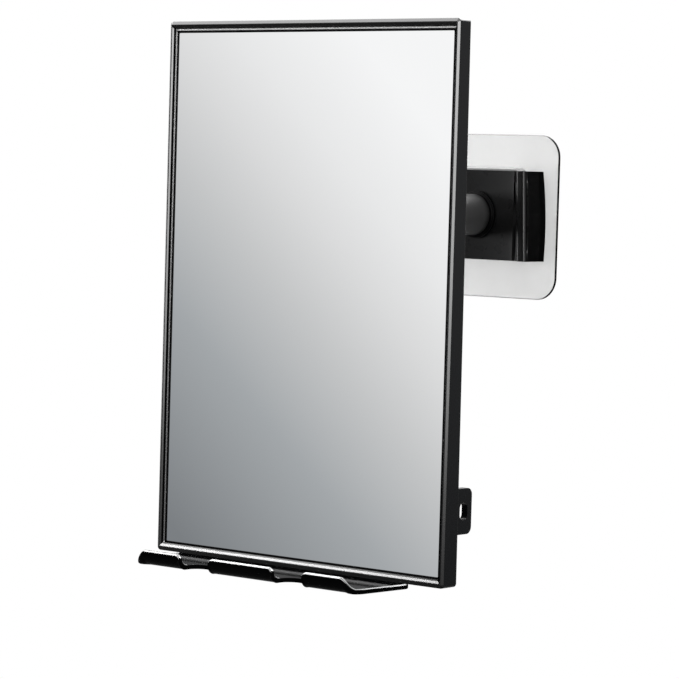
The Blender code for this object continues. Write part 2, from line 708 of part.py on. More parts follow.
def back_cover(black, screw_tools):
    """Rear panel that clips into the frame, ribbed inside, with a raised pad for the joint."""
    outline = pane_outline()
    front = [(x, -COVER_FRONT, MIRROR_Z + z) for x, z in outline]
    back = [(x, -cover_back(MIRROR_Z + z), MIRROR_Z + z) for x, z in outline]
    cover = rings_to_solid("back_cover", [front, back], black)
    at_arm = axis_frame(Vector((0, 0, ARM_Z)), OUTWARDS)
    fuse(cover, turned("joint_pad_tool", [
        (0, JOINT_PAD_BACK), (JOINT_PAD_RADIUS, JOINT_PAD_BACK),
        (JOINT_PAD_RADIUS, COVER_FRONT - SEAT_GAP), (0, COVER_FRONT - SEAT_GAP),
    ], at_arm))
    cut(cover, *screw_tools)
    half_width = MIRROR_WIDTH / 2 - COVER_MARGIN
    half_height = MIRROR_HEIGHT / 2 - COVER_MARGIN
    column = 2 * half_width / POCKET_COLUMNS
    row = 2 * half_height / POCKET_ROWS
    for column_index in range(POCKET_COLUMNS):
        for row_index in range(POCKET_ROWS):
            low_x = -half_width + column * column_index + COVER_RIB / 2
            low_z = MIRROR_Z - half_height + row * row_index + COVER_RIB / 2
            high_x = low_x + column - COVER_RIB
            high_z = low_z + row - COVER_RIB
            near_z = max(low_z, min(ARM_Z, high_z)) - ARM_Z
            near_x = max(low_x, min(0, high_x))
            floor = cover_back(high_z) + COVER_WALL
            if math.hypot(near_x, near_z) > JOINT_PAD_RADIUS and floor < COVER_FRONT:
                cut(cover, box("cover_pocket_tool", (low_x, floor, low_z),
                               (high_x, COVER_FRONT + CUT_OVERRUN, high_z)))
    return cover


def cover_clips(cover, frame):
    """Bumps on the cover's sides that snap into slots in the frame."""
    edge = MIRROR_WIDTH / 2 - CASING_WALL_SIDE - SEAT_GAP
    clip_front = COVER_FRONT - CLIP_THICKNESS / 2
    clip_back = clip_front - CLIP_THICKNESS
    for side in (-1, 1):
        for share in CLIP_HEIGHT_SHARES:
            z = MIRROR_Z + share * MIRROR_HEIGHT
            across = sorted((side * (edge - CLIP_THICKNESS), side * (edge + CLIP_REACH)))
            fuse(cover, box("clip_tool", (across[0], clip_back, z - CLIP_LENGTH / 2),
                            (across[1], clip_front, z + CLIP_LENGTH / 2)))
            deep = edge + CLIP_REACH + SEAT_GAP
            across = sorted((side * (edge - CLIP_THICKNESS), side * deep))
            long_half = CLIP_LENGTH / 2 + SEAT_GAP
            cut(frame, box("clip_slot_tool", (across[0], clip_back - SEAT_GAP, z - long_half),
                           (across[1], clip_front + SEAT_GAP, z + long_half)))


def lip_share(degrees):
    """How much of the lip's height is left part of the way round the front corner."""
    start, end = LIP_FALL_DEGREES
    share = min(max((degrees - start) / (end - start), 0.0), 1.0)
    return 1.0 - share * share * (3.0 - 2.0 * share)


def tray_stations():
    """Right half of the tray's edge: place, inward direction, height, bend and wall."""
    stations = []
    front = -TRAY_FRONT_OUT

    def add_station(place, inward, height, bend, wall):
        stations.append((place, inward, height, min(bend, height * BEND_MOST_SHARE), wall))

    def front_station(x, height):
        add_station((x, front), (0, 1), height, TRAY_LIP_BEND, TRAY_LIP_WALL)

    inner = NOTCH_OFFSET - NOTCH_WIDTH / 2
    outer = NOTCH_OFFSET + NOTCH_WIDTH / 2
    front_station(0, TRAY_LIP_HEIGHT)
    turns = [math.radians(degrees) for degrees in NOTCH_SHOULDER_DEGREES]
    shoulder = [(math.sin(turn), math.cos(turn)) for turn in turns]
    for across, drop in shoulder:
        front_station(inner - NOTCH_SHOULDER * (1 - across), TRAY_LIP_HEIGHT - NOTCH_SHOULDER * (1 - drop))
    for across, drop in reversed(shoulder):
        front_station(outer + NOTCH_SHOULDER * (1 - across), TRAY_LIP_HEIGHT - NOTCH_SHOULDER * (1 - drop))
    radius = TRAY_FRONT_CORNER
    centre = (TRAY_FRONT_WIDTH / 2 - radius, front + radius)
    for step in range(TRAY_CORNER_STEPS + 1):
        degrees = 90.0 * step / TRAY_CORNER_STEPS
        angle = math.radians(degrees)
        out = (math.sin(angle), -math.cos(angle))
        place = (centre[0] + radius * out[0], centre[1] + radius * out[1])
        share = lip_share(degrees)
        add_station(place, (-out[0], -out[1]),
                    TRAY_RIM_HEIGHT + (TRAY_LIP_HEIGHT - TRAY_RIM_HEIGHT) * share,
                    TRAY_RIM_BEND + (TRAY_LIP_BEND - TRAY_RIM_BEND) * share,
                    TRAY_RIM_WALL + (TRAY_LIP_WALL - TRAY_RIM_WALL) * share)
    radius = TRAY_REAR_CORNER
    centre = (TRAY_REAR_WIDTH / 2 - radius, -TRAY_REAR_OUT - radius)
    for step in range(CORNER_STEPS):
        share = step / (CORNER_STEPS - 1)
        angle = math.radians(90.0 * share)
        out = (math.cos(angle), math.sin(angle))
        place = (centre[0] + radius * out[0], centre[1] + radius * out[1])
        add_station(place, (-out[0], -out[1]), TRAY_PLATE + TRAY_RIM_RISE * (1 - share),
                    TRAY_RIM_BEND + (TRAY_EDGE_BEND - TRAY_RIM_BEND) * share, TRAY_RIM_WALL)
    return stations


def tray_edge_point(station, inset, height):
    place, inward, _, _, _ = station
    return (place[0] + inward[0] * inset, place[1] + inward[1] * inset, TRAY_UNDERSIDE + height)


def tray_rings(stations):
    """Rings from the underside, up the outside, over the top and down to the tray's floor."""
    rings = [[tray_edge_point(s, s[3] + TRAY_EDGE_BEND, 0) for s in stations]]
    for step in range(TRAY_BEND_STEPS + 1):
        angle = math.radians(90.0 * step / TRAY_BEND_STEPS)
        across, rise = 1 - math.sin(angle), 1 - math.cos(angle)
        rings.append([tray_edge_point(s, s[3] * across, s[3] * rise) for s in stations])
    rings.append([tray_edge_point(s, 0, s[2]) for s in stations])
    rings.append([tray_edge_point(s, s[4], s[2]) for s in stations])
    for step in range(TRAY_BEND_STEPS + 1):
        angle = math.radians(90.0 * step / TRAY_BEND_STEPS)
        ring = []
        for s in stations:
            drop = s[2] - TRAY_PLATE
            slope = s[4] + drop * (1 - math.cos(angle))
            ring.append(tray_edge_point(s, slope + TRAY_EDGE_BEND, s[2] - drop * math.sin(angle)))
        rings.append(ring)
    return rings


def razor_tray(black, steel, frame):
    right = tray_stations()
    left = []
    for place, inward, height, bend, wall in reversed(right[1:]):
        left.append(((-place[0], place[1]), (-inward[0], inward[1]), height, bend, wall))
    tray = rings_to_solid("razor_tray", tray_rings(right + left), black)
    tab_back = casing_back(MIRROR_BOTTOM) + CASING_BACK_ROUND
    screw_out = (MIRROR_OUT + casing_back(MIRROR_BOTTOM)) / 2
    screw_frames = []
    for side in (-1, 1):
        x = side * NOTCH_OFFSET
        outline = rounded_outline(NOTCH_WIDTH / 2, NOTCH_DEPTH, NOTCH_END_RADIUS)
        rings = []
        for z in (TRAY_UNDERSIDE - CUT_OVERRUN, TRAY_UNDERSIDE + TRAY_LIP_HEIGHT + CUT_OVERRUN):
            rings.append([(x + across, along - TRAY_FRONT_OUT, z) for across, along in outline])
        cut(tray, rings_to_solid("razor_notch_tool", rings))
        centre = side * TAB_OFFSET
        fuse(tray, box("tray_tab_tool", (centre - TAB_WIDTH / 2, tab_back, TAB_TOP - TAB_THICKNESS),
                       (centre + TAB_WIDTH / 2, TRAY_REAR_OUT + TAB_ROOT, TAB_TOP)))
        start = Vector((centre, -screw_out, TAB_TOP - TAB_THICKNESS))
        screw_frames.append(axis_frame(start, -UPWARDS))
    length = TAB_THICKNESS + SEAT_GAP + SCREW_BITE_SHARE * CASING_WALL_END
    profile = flat_screw_profile(TRAY_SCREW_HEAD_RADIUS, TRAY_SCREW_HEAD_HEIGHT,
                                 TRAY_SCREW_RADIUS, length)
    screws = like_screws("tray_screw", profile, screw_frames, steel)
    play = HOLE_PLAY
    for frame_at in screw_frames:
        wide = TRAY_SCREW_HEAD_RADIUS + 2 * play
        narrow = TRAY_SCREW_RADIUS + play
        sunk = [
            (0, -length - play), (narrow, -length - play), (narrow, -TRAY_SCREW_HEAD_HEIGHT - play),
            (wide, play), (wide, CUT_OVERRUN), (0, CUT_OVERRUN),
        ]
        tool = turned("tray_screw_hole_tool", sunk, frame_at, steps=SCREW_STEPS)
        cut(tray, tool)
        cut(frame, tool)
    return [tray, *screws]


def side_loop(black, steel, cover):
    """Loop behind the right edge, on a foot that a screw holds to the cover."""
    outer_x = MIRROR_WIDTH / 2 - LOOP_INSET
    inner_x = outer_x - LOOP_THICKNESS
    middle = MIRROR_BOTTOM + LOOP_RISE
    low_z = middle - LOOP_HEIGHT / 2
    high_z = middle + LOOP_HEIGHT / 2
    base = casing_back(low_z) - SEAT_GAP
    tip = base - LOOP_HOLE_SETBACK - LOOP_HOLE_WIDTH - LOOP_BAND
    outline = [(base, low_z)]
    for end, first, corner_z in ((-1, 270.0, low_z + LOOP_CORNER), (1, 0.0, high_z - LOOP_CORNER)):
        for step in range(CORNER_STEPS + 1):
            angle = math.radians(first + 90.0 * step / CORNER_STEPS)
            outline.append((tip + LOOP_CORNER - LOOP_CORNER * math.cos(angle),
                            corner_z + LOOP_CORNER * math.sin(angle)))
    outline.append((base, high_z))
    rings = [[(x, -out, z) for out, z in outline] for x in (inner_x, outer_x)]
    loop = rings_to_solid("side_loop", rings, black)
    foot_x = inner_x - LOOP_FOOT_LENGTH
    fuse(loop, box("loop_foot_tool", (foot_x, base - LOOP_FOOT_THICKNESS, low_z),
                   (inner_x + LOOP_THICKNESS / 2, base, high_z)))
    hole_out = base - LOOP_HOLE_SETBACK - LOOP_HOLE_WIDTH / 2
    corner = LOOP_HOLE_WIDTH * LOOP_HOLE_ROUND_SHARE
    hole = rounded_outline(LOOP_HOLE_WIDTH / 2, LOOP_HOLE_HEIGHT / 2, corner)
    rings = [[(x, along - hole_out, middle + up) for along, up in hole]
             for x in (inner_x - CUT_OVERRUN, outer_x + CUT_OVERRUN)]
    cut(loop, rings_to_solid("loop_hole_tool", rings))
    seat = base - LOOP_FOOT_THICKNESS - SEAT_GAP
    at_screw = axis_frame(Vector((inner_x - LOOP_SCREW_SETBACK, -seat, middle)), -OUTWARDS)
    bite = SCREW_BITE_SHARE * (COVER_FRONT - cover_back(middle))
    length = LOOP_FOOT_THICKNESS + 2 * SEAT_GAP + bite
    profile = screw_profile(JOINT_SCREW_HEAD_RADIUS, JOINT_SCREW_HEAD_HEIGHT, JOINT_SCREW_RADIUS, length)
    screw = turned("loop_screw", profile, at_screw, steel, SCREW_STEPS)
    start = at_screw @ Matrix.Translation((0, 0, -length - SEAT_GAP))
    tool = hole_tool("loop_screw_hole_tool", JOINT_SCREW_RADIUS + HOLE_PLAY, length + CUT_OVERRUN, start)
    cut(loop, tool)
    cut(cover, tool)
    return [loop, screw]


def build():
    clear_scene()
    black = make_material("gloss_black", (0.012, 0.012, 0.013), 0.18)
    clear = make_material("clear_plastic", (0.92, 0.93, 0.94), 0.12, transmission=0.6)
    adhesive = make_material("adhesive", (0.86, 0.87, 0.88), 0.45, transmission=0.4)
    mirror = make_material("mirror_silver", (0.88, 0.90, 0.91), 0.02, metallic=1.0)
    foam = make_material("foam_backing", (0.30, 0.30, 0.31), 0.9)
    steel = make_material("screw_steel", (0.62, 0.62, 0.63), 0.28, metallic=1.0)
    brass = make_material("insert_brass", (0.72, 0.55, 0.25), 0.3, metallic=1.0)
    nylon = make_material("seat_nylon", (0.86, 0.85, 0.80), 0.5)

    wall_pad(adhesive, clear)
    pad_ring(clear)
    arm_pieces = arm(black, brass, steel)
    stud_pieces = ball_stud(steel, arm_pieces[0])
    carry("bracket_slide", Vector((0, 0, ARM_Z)), [wall_bracket(black), *arm_pieces, *stud_pieces])
    joint_seats(nylon)
    locking_collar(black)
    casing, screw_tools = ball_housing(black, steel)
    frame = front_frame(black)
    cover = back_cover(black, screw_tools)
    cover_clips(cover, frame)
    casing += [frame, cover]
    casing += glass_and_backing(mirror, foam)
    casing += razor_tray(black, steel, frame)
    casing += side_loop(black, steel, cover)
    carry("mirror_pivot", BALL_CENTRE, casing)


build()
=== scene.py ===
"""Fine shapes, finishes, stage and camera for a shower shaving mirror on a wall pad.

The wall is the plane y = 0 and the mirror looks along -Y. "Out" is the distance from the wall.
"""

import json
import math

import bmesh
import bpy
from bpy.props import FloatProperty, FloatVectorProperty, IntProperty, PointerProperty
from mathutils import Matrix, Vector


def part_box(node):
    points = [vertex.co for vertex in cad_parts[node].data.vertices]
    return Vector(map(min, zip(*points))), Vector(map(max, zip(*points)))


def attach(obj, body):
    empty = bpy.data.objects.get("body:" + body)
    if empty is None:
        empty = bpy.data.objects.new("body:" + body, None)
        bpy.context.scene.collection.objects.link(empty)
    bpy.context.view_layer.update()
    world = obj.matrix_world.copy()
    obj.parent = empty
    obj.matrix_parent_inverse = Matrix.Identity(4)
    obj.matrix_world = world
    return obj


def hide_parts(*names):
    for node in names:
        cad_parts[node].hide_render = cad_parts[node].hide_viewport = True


bl_info = {
    "name": "Shower Shaving Mirror",
    "version": (1, 0, 0),
    "blender": (4, 5, 0),
    "location": "View3D > Sidebar > Shaving Mirror",
    "description": "Builds the fine shapes and finishes of a shower shaving mirror",
    "category": "Add Mesh",
}

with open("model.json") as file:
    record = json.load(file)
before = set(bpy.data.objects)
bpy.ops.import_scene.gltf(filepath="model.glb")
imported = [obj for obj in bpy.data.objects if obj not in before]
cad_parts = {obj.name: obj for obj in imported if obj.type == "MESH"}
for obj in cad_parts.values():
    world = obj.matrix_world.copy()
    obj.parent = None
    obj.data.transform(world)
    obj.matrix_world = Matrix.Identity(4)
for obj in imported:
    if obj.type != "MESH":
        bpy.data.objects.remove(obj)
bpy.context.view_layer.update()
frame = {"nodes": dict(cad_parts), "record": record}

GAP = 0.0003
TINY = 0.000001
NEAR = TINY * 100
OVERRUN = 0.002
# Radii of small edge roundings.
HAIR_EDGE, FINE_EDGE, SOFT_EDGE, ROUND_EDGE = 0.0002, 0.0003, 0.0004, 0.0006
# Radius of the holes for the small screws, and their head radius, head height and shank radius.
SCREW_HOLE = 0.0013
HOLE_REACH = 0.03
PAN_HEAD = (0.0020, 0.0014, 0.0010)
SUNK_HEAD = (0.0020, 0.0012, 0.0010)
PAN_PITCH, SUNK_PITCH = 0.0007, 0.0006
# Where a sunk screw's hole ends and where it widens, up from the screw's head.
SUNK_HOLE_TOP, SUNK_HOLE_NECK = -0.004, -0.0015
# Degrees from the ball's front at which each nylon seat starts and ends.
FRONT_SEAT, REAR_SEAT = (18.0, 55.0), (86.0, 116.0)
OUTWARDS = Vector((0, -1, 0))
UPWARDS = Vector((0, 0, 1))
SIDEWAYS = Vector((1, 0, 0))


def cad_box(node):
    """Lowest and highest x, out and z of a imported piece."""
    low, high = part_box(node)
    return (low[0], -high[1], low[2]), (high[0], -low[1], high[2])


PAD_LOW, PAD_HIGH = cad_box("wall_pad")
GEL_LOW, GEL_HIGH = cad_box("wall_adhesive")
RING_LOW, RING_HIGH = cad_box("pad_ring")
BRACKET_LOW, BRACKET_HIGH = cad_box("wall_bracket")
TUBE_LOW, TUBE_HIGH = cad_box("arm_tube")
HOUSING_HIGH = cad_box("ball_housing")[1]
CASING_LOW, CASING_HIGH = cad_box("front_frame")
GLASS_LOW, GLASS_HIGH = cad_box("mirror_glass")
COVER_HIGH = cad_box("back_cover")[1]
TRAY_LOW, TRAY_HIGH = cad_box("razor_tray")
LOOP_LOW, LOOP_HIGH = cad_box("side_loop")
JOINTS = {joint["name"]: joint for joint in frame["record"]["behaviour"]["joints"]}
PIVOT = JOINTS["mirror_spin"]["pos_m"]
ARM_Z = PIVOT[2]
BALL_OUT = -PIVOT[1]
FRONT = CASING_HIGH[1]
GLASS_HALF = (GLASS_HIGH[2] - GLASS_LOW[2]) / 2
GLASS_MIDDLE = (GLASS_HIGH[2] + GLASS_LOW[2]) / 2


def length(name, description, default, most=1.0):
    return FloatProperty(name=name, description=description, default=default, min=0.0, max=most,
                         precision=5, unit="LENGTH")


def colour(name, description, default):
    return FloatVectorProperty(name=name, description=description, default=default,
                               min=0.0, max=1.0, size=3, subtype="COLOR")


def share(name, description, default):
    return FloatProperty(name=name, description=description, default=default, min=0.0, max=1.0,
                         subtype="FACTOR")


def slant(name, description, degrees):
    return FloatProperty(name=name, description=description, default=math.radians(degrees),
                         subtype="ANGLE")


class MirrorPadSettings(bpy.types.PropertyGroup):
    """Sizes of the adhesive pad and its ring."""

    corner: length("Corner radius", "Radius of the clear sheet's corners", 0.011)
    edge_round: length("Edge rounding", "Rounding of the sheet's front edge", 0.0006)
    back_chamfer: length("Back chamfer", "Chamfer of the sheet's rear edge", 0.00015)
    ring_corner: length("Ring corner", "Radius of the ring's corners", 0.0055)
    ring_band: length("Ring band", "Width of the ring's band", 0.0065)
    ring_round: length("Ring rounding", "Rounding of the ring's outer edge", 0.0011)
    ring_chamfer: length("Ring chamfer", "Chamfer of the ring's rear edge", 0.0002)
    window_corner: length("Window corner", "Radius of the corners of the ring's window", 0.0015)
    window_round: length("Window rounding", "Rounding of the window's front edge", 0.0005)
    groove_depth: length("Groove depth", "Depth of the side grooves", 0.0018)
    groove_floor: length("Groove floor", "Material behind the side grooves", 0.0010)
    groove_width: length("Groove width", "Opening of the side grooves", 0.0017)
    groove_stop: length("Groove stop", "Height of the stop under the grooves", 0.0024)


class MirrorBracketSettings(bpy.types.PropertyGroup):
    """Sizes of the wall bracket and its boss."""

    base_width: length("Base width", "Width at the wall", 0.0644)
    ridge_span: length("Ridge span", "Width over the two ridges", 0.0640)
    ridge_width: length("Ridge width", "Width of one ridge", 0.0056)
    ridge_round: length("Ridge rounding", "Rounding of the ridges", 0.0019)
    ridge_step: length("Ridge step", "Height of the ridges over the plate", 0.0028)
    depth: length("Depth", "Distance of the ridges from the wall", 0.0178)
    hollow: length("Plate hollow", "Depth of the hollow in the front plate", 0.0012)
    bulge: length("Side bulge", "How far the sides swell at mid height", 0.0012)
    taper: length("Taper", "How much wider each half is at the foot than at the top", 0.0018)
    line_setback: length("Line setback", "Distance of the fine groove from the ridge", 0.0031)
    line_width: length("Line width", "Width of the fine groove beside the ridge", 0.0010)
    line_depth: length("Line depth", "Depth of the fine groove beside the ridge", 0.0007)
    # Painted shade: the socket's colour darkens over this length towards its foot on the plate.
    socket_shade: length("Socket shade", "Length over which the socket darkens to its foot", 0.0040)
    edge_round: length("Edge rounding", "Rounding of the top and bottom edges", 0.0004)
    boss_radius: length("Boss radius", "Radius of the arm's socket", 0.0100)
    boss_flare: length("Boss flare", "Fillet at the foot of the socket", 0.0016)
    bore_radius: length("Bore radius", "Radius of the socket's bore", 0.0083)
    side_flare: length("Side flare", "How far the sides flare out at the wall", 0.0007)
    flare_height: length("Flare height", "Distance from the wall where the flare starts", 0.0034)
    flare_round: length("Flare rounding", "Rounding where the flare starts", 0.0030)
    foot_height: length("Foot height", "Height of the sides' upright foot", 0.0007)
    ridge_lean: length("Ridge lean", "How far the ridge's inner side leans", 0.0003)
    ridge_foot: length("Ridge foot", "Fillet at the foot of the ridge's inner side", 0.0007)
    rim_round: length("Rim rounding", "Rounding of the socket's rim", 0.0005)
    well_radius: length("Well radius", "Radius of the screw's well", 0.0080)
    screw_wall: length("Screw wall", "Material between the well and the bore", 0.0057)
    screw_hole: length("Screw hole", "Radius of the arm screw's hole", 0.0017)


class MirrorArmSettings(bpy.types.PropertyGroup):
    """Sizes of the arm and its ball stud."""

    radius: length("Arm radius", "Outer radius of the arm", 0.0080)
    wall: length("Arm wall", "Wall of the arm's tube", 0.0020)
    edge_round: length("Edge rounding", "Rounding of the arm's ends", 0.0004)
    ball_radius: length("Ball radius", "Radius of the ball", 0.0090)
    neck_radius: length("Neck radius", "Radius of the neck", 0.0040)
    neck_length: length("Neck length", "Length of the neck beyond the ball", 0.0090)
    neck_flare: length("Neck flare", "Length of the cone that joins the neck to the arm", 0.0030)
    shoulder: length("Shoulder", "Length of the shoulder against the arm", 0.0020)
    shoulder_round: length("Shoulder rounding", "Rounding of the shoulder's edge", 0.0005)
    spigot: length("Spigot", "Length of the spigot in the arm", 0.0150)
    pin_radius: length("Pin radius", "Radius of the cross pin", 0.0010)
    pin_inset: length("Pin inset", "How far the pin's ends lie under the arm's skin", 0.0004)


class MirrorJointSettings(bpy.types.PropertyGroup):
    """Sizes of the ball joint's housing, seats and collar."""

    seat_thickness: length("Seat thickness", "Thickness of the nylon seats", 0.0016)
    housing_radius: length("Housing radius", "Outer radius of the housing", 0.0150)
    housing_rim: length("Housing rim", "Reach of the housing past the ball's centre", 0.0015)
    flange_radius: length("Flange radius", "Radius of the housing's flange", 0.0250)
    flange_thickness: length("Flange thickness", "Thickness of the housing's flange", 0.0030)
    flange_round: length("Flange rounding", "Rounding of the flange's edge", 0.0009)
    collar_radius: length("Collar radius", "Radius between the collar's grips", 0.0175)
    collar_grip: length("Collar grip", "Height of the collar's grips", 0.0007)
    collar_lip: length("Collar lip", "Thickness of the collar's lip", 0.0026)
    collar_mouth: length("Collar mouth", "Widening of the collar's mouth", 0.0022)
    collar_front_round: length("Collar front", "Rounding of the collar's front edge", 0.0007)
    collar_back_round: length("Collar back", "Rounding of the collar's rear edge", 0.0012)
    mouth_round: length("Mouth rounding", "Rounding of the collar's mouth", 0.0005)
    grips: IntProperty(name="Grips", description="Number of grips round the collar",
                       default=12, min=3, max=60)
    screw_circle: length("Screw circle", "Radius of the circle of flange screws", 0.0210)


class MirrorCasingSettings(bpy.types.PropertyGroup):
    """Sizes of the frame, the glass and the back cover."""

    corner: length("Corner radius", "Radius of the frame's corners", 0.0018)
    bezel_side: length("Side bezel", "Width of the bezel at the sides", 0.0042)
    bezel_end: length("End bezel", "Width of the bezel at the top and bottom", 0.0050)
    glass_recess: length("Glass recess", "Depth of the glass behind the bezel", 0.0025)
    back_round: length("Back rounding", "Rounding of the frame's rear edge", 0.0006)
    crest: length("Crest", "Distance of the ridge's crest from the outer edge", 0.0014)
    ridge_depth: length("Ridge depth", "Height of the ridge over its outer edge", 0.0011)
    ridge_round: length("Ridge rounding", "Rounding of the ridge's crest", 0.0006)
    groove_depth: length("Groove depth", "Depth of the groove behind the ridge", 0.00175)
    slope_width: length("Slope width", "Width of the ridge's gentle inner slope", 0.0010)
    slope_depth: length("Slope depth", "Depth of the ridge's gentle inner slope", 0.00090)
    foot_shift: length("Foot shift", "How far the lower bezel's crest lies further in", 0.0005)
    foot_slope: share("Foot slope", "Depth per width of the lower bezel's broad slope", 0.60)
    lip_start: length("Lip start", "Distance of the thin inner lip from the outer edge", 0.0030)
    lip_rise: length("Lip rise", "Width of the lip's slope towards the groove", 0.00030)
    lip_width: length("Lip width", "Width of the thin inner lip", 0.00037)
    lip_depth: length("Lip depth", "Depth of the thin inner lip", 0.0015)
    lip_slope: length("Lip slope", "Width of the lip's slope towards the glass", 0.00028)
    lip_foot: length("Lip foot", "Depth at the foot of the lip's slope", 0.0019)
    step_depth: length("Step depth", "Depth of the step's edge beside the glass", 0.0021)
    opening_drop: length("Opening drop", "How far the opening sits below the middle", 0.00037)
    groove_lean: length("Groove lean", "Width of the groove's steep outer side", 0.00015)
    foot_round: length("Foot rounding", "Rounding at the foot of the groove and the lip", 0.0001)
    wall_chamfer: length("Wall chamfer", "Chamfer of the frame's rear inner edge", 0.0002)
    least_corner: length("Least corner", "Least radius of the frame's inner corners", 0.0005)
    glass_corner: length("Glass corner", "Radius of the corners of the glass and cover", 0.0006)
    glass_round: length("Glass rounding", "Rounding of the glass's edges", 0.00025)
    cover_sink: length("Cover sink", "How far the cover lies inside the rear edge", 0.0003)
    line_inset: length("Line inset", "Distance of the cover's fine line from its edge", 0.0060)
    line_width: length("Line width", "Width of the cover's fine line", 0.0010)
    line_depth: length("Line depth", "Depth of the cover's fine line", 0.0003)
    pad_margin: length("Joint pad margin", "Width of the raised pad past the flange", 0.0012)
    cover_round: length("Cover rounding", "Rounding of the cover's rear edge", 0.0004)
    pad_round: length("Joint pad rounding", "Rounding of the raised pad behind the joint", 0.0005)


class MirrorTraySettings(bpy.types.PropertyGroup):
    """Sizes of the razor tray."""

    front_width: length("Front width", "Width of the tray at its lip", 0.1340)
    rear_width: length("Rear width", "Width of the tray at the frame", 0.1380)
    front_corner: length("Front corner", "Radius of the front corners", 0.0090)
    rear_corner: length("Rear corner", "Radius of the rear corners", 0.0030)
    plate: length("Plate", "Thickness of the tray's plate", 0.0020)
    tab_overlap: length("Tab overlap", "How far the tabs rise over the underside", 0.0013)
    lip_bend: length("Lip bend", "Outer bend radius under the lip", 0.0060)
    lip_wall: length("Lip wall", "Thickness of the lip", 0.0024)
    rim_rise: length("Rim rise", "Height of the side rim over the plate", 0.0004)
    rim_bend: length("Rim bend", "Outer bend radius under the side rim", 0.0010)
    rim_wall: length("Rim wall", "Thickness of the side rim", 0.0014)
    edge_round: length("Edge rounding", "Rounding of the notches' edges", 0.00035)
    notch_offset: length("Notch offset", "Distance of a notch from the middle", 0.0278)
    notch_width: length("Notch width", "Width of a razor notch", 0.0178)
    notch_depth: length("Notch depth", "Depth of a razor notch", 0.0130)
    notch_shoulder: length("Notch shoulder", "Rounding of the lip beside a notch", 0.0022)
    notch_end: length("Notch end", "Corner radius at a notch's end", 0.0060)
    tab_offset: length("Tab offset", "Distance of a tab from the middle", 0.0220)
    tab_width: length("Tab width", "Width of a tab", 0.0140)
    tab_thickness: length("Tab thickness", "Thickness of a tab", 0.0022)
    tab_reach: length("Tab reach", "How far the tabs reach past the frame's front", 0.0040)
    rear_gap: length("Rear gap", "Gap between the tray's plate and the frame", 0.0004)
    rear_edge: length("Rear edge", "Bend radius of the tray's rear edge", 0.0004)
    rear_wall: length("Rear wall", "Width of the tray's rear edge", 0.0006)


class MirrorLoopSettings(bpy.types.PropertyGroup):
    """Sizes of the side loop."""

    thickness: length("Thickness", "Thickness of the loop", 0.0033)
    corner: length("Corner radius", "Radius of the loop's free corners", 0.0032)
    hole_width: length("Hole width", "Width of the loop's hole", 0.0056)
    hole_height: length("Hole height", "Height of the loop's hole", 0.0080)
    hole_setback: length("Hole setback", "Material between the hole and the frame", 0.0018)
    foot_thickness: length("Foot thickness", "Thickness of the loop's foot", 0.0022)
    edge_round: length("Edge rounding", "Rounding of the loop's edges", 0.00035)


class MirrorFinishSettings(bpy.types.PropertyGroup):
    """Colours and gloss of the pieces; some tones are painted highlights and painted shade."""

    gloss_black: colour("Gloss black", "Colour of the frame's bead and side slope",
                        (0.0022, 0.0023, 0.0025))
    # Painted highlight: a pale grey base colour that stands for the bright reflection on the
    # frame's upper lip.
    lip_highlight_grey: colour("Lip grey", "Tone of the bright upper lip round the glass", (0.45, 0.45, 0.45))
    # Painted highlight: a mid grey that stands for the bright band on the lower bezel's slope and
    # on the tray lip's top.
    bead_highlight_grey: colour("Bead grey", "Tone of the lower bezel's bright slope and the tray's lip",
                      (0.17, 0.17, 0.17))
    # Painted highlight: a grey that stands for the bright line along the ring's upper edge.
    ring_highlight_grey: colour("Ring grey", "Colour that the ring's upper edge shows", (0.40, 0.40, 0.40))
    deep_black: colour("Deep black", "Colour of the frame's groove and the tray",
                       (0.0013, 0.0013, 0.0014))
    side_black: colour("Side black", "Colour of the frame's walls, cover and loop",
                       (0.0036, 0.0042, 0.0052))
    satin_black: colour("Satin black", "Colour of the bracket and joint", (0.0068, 0.0068, 0.0070))
    # Painted highlight: the socket's black is lighter than the bracket's, for the soft highlight
    # along the socket.
    socket_highlight_black: colour("Socket black", "Colour of the arm's socket", (0.0390, 0.0390, 0.0392))
    # Painted shade: a deeper, duller black for the bracket's sides, the fine groove beside each
    # ridge, the ridges' inner sides and the socket's foot fillet.
    painted_shade_black: colour("Flank black", "Colour of the bracket's sides", (0.0013, 0.0013, 0.0014))
    gloss_roughness: share("Gloss roughness", "Roughness of the frame and tray", 0.11)
    satin_roughness: share("Satin roughness", "Roughness of the bracket and joint", 0.28)
    clear: colour("Clear plastic", "Tint of the pad's sheet and ring", (0.953, 0.953, 0.951))
    # Painted shade and painted highlight: the sheet's side edges are painted near black and its
    # upper and lower edges grey, for the dark and bright lines that light makes along a clear edge.
    sheet_side_painted_shade: colour("Clear edge", "Colour that the sheet's side edges show",
                       (0.0020, 0.0020, 0.0022))
    sheet_end_painted_highlight: colour("Pale edge", "Colour that the sheet's upper and lower edges show",
                      (0.24, 0.24, 0.24))
    gel: colour("Adhesive gel", "Tint of the adhesive", (0.95, 0.95, 0.948))
    silver: colour("Mirror silver", "Tint of the mirror's silver", (0.90, 0.905, 0.91))
    steel: colour("Screw steel", "Colour of screws and stud", (0.58, 0.58, 0.59))
    brass: colour("Brass", "Colour of the threaded plug", (0.72, 0.52, 0.22))
    nylon: colour("Nylon", "Colour of the joint's seats", (0.80, 0.79, 0.73))
    foam: colour("Foam", "Colour of the foam behind the glass", (0.045, 0.045, 0.048))
    glass_edge: colour("Glass edge", "Colour of the glass's ground edge", (0.12, 0.17, 0.15))


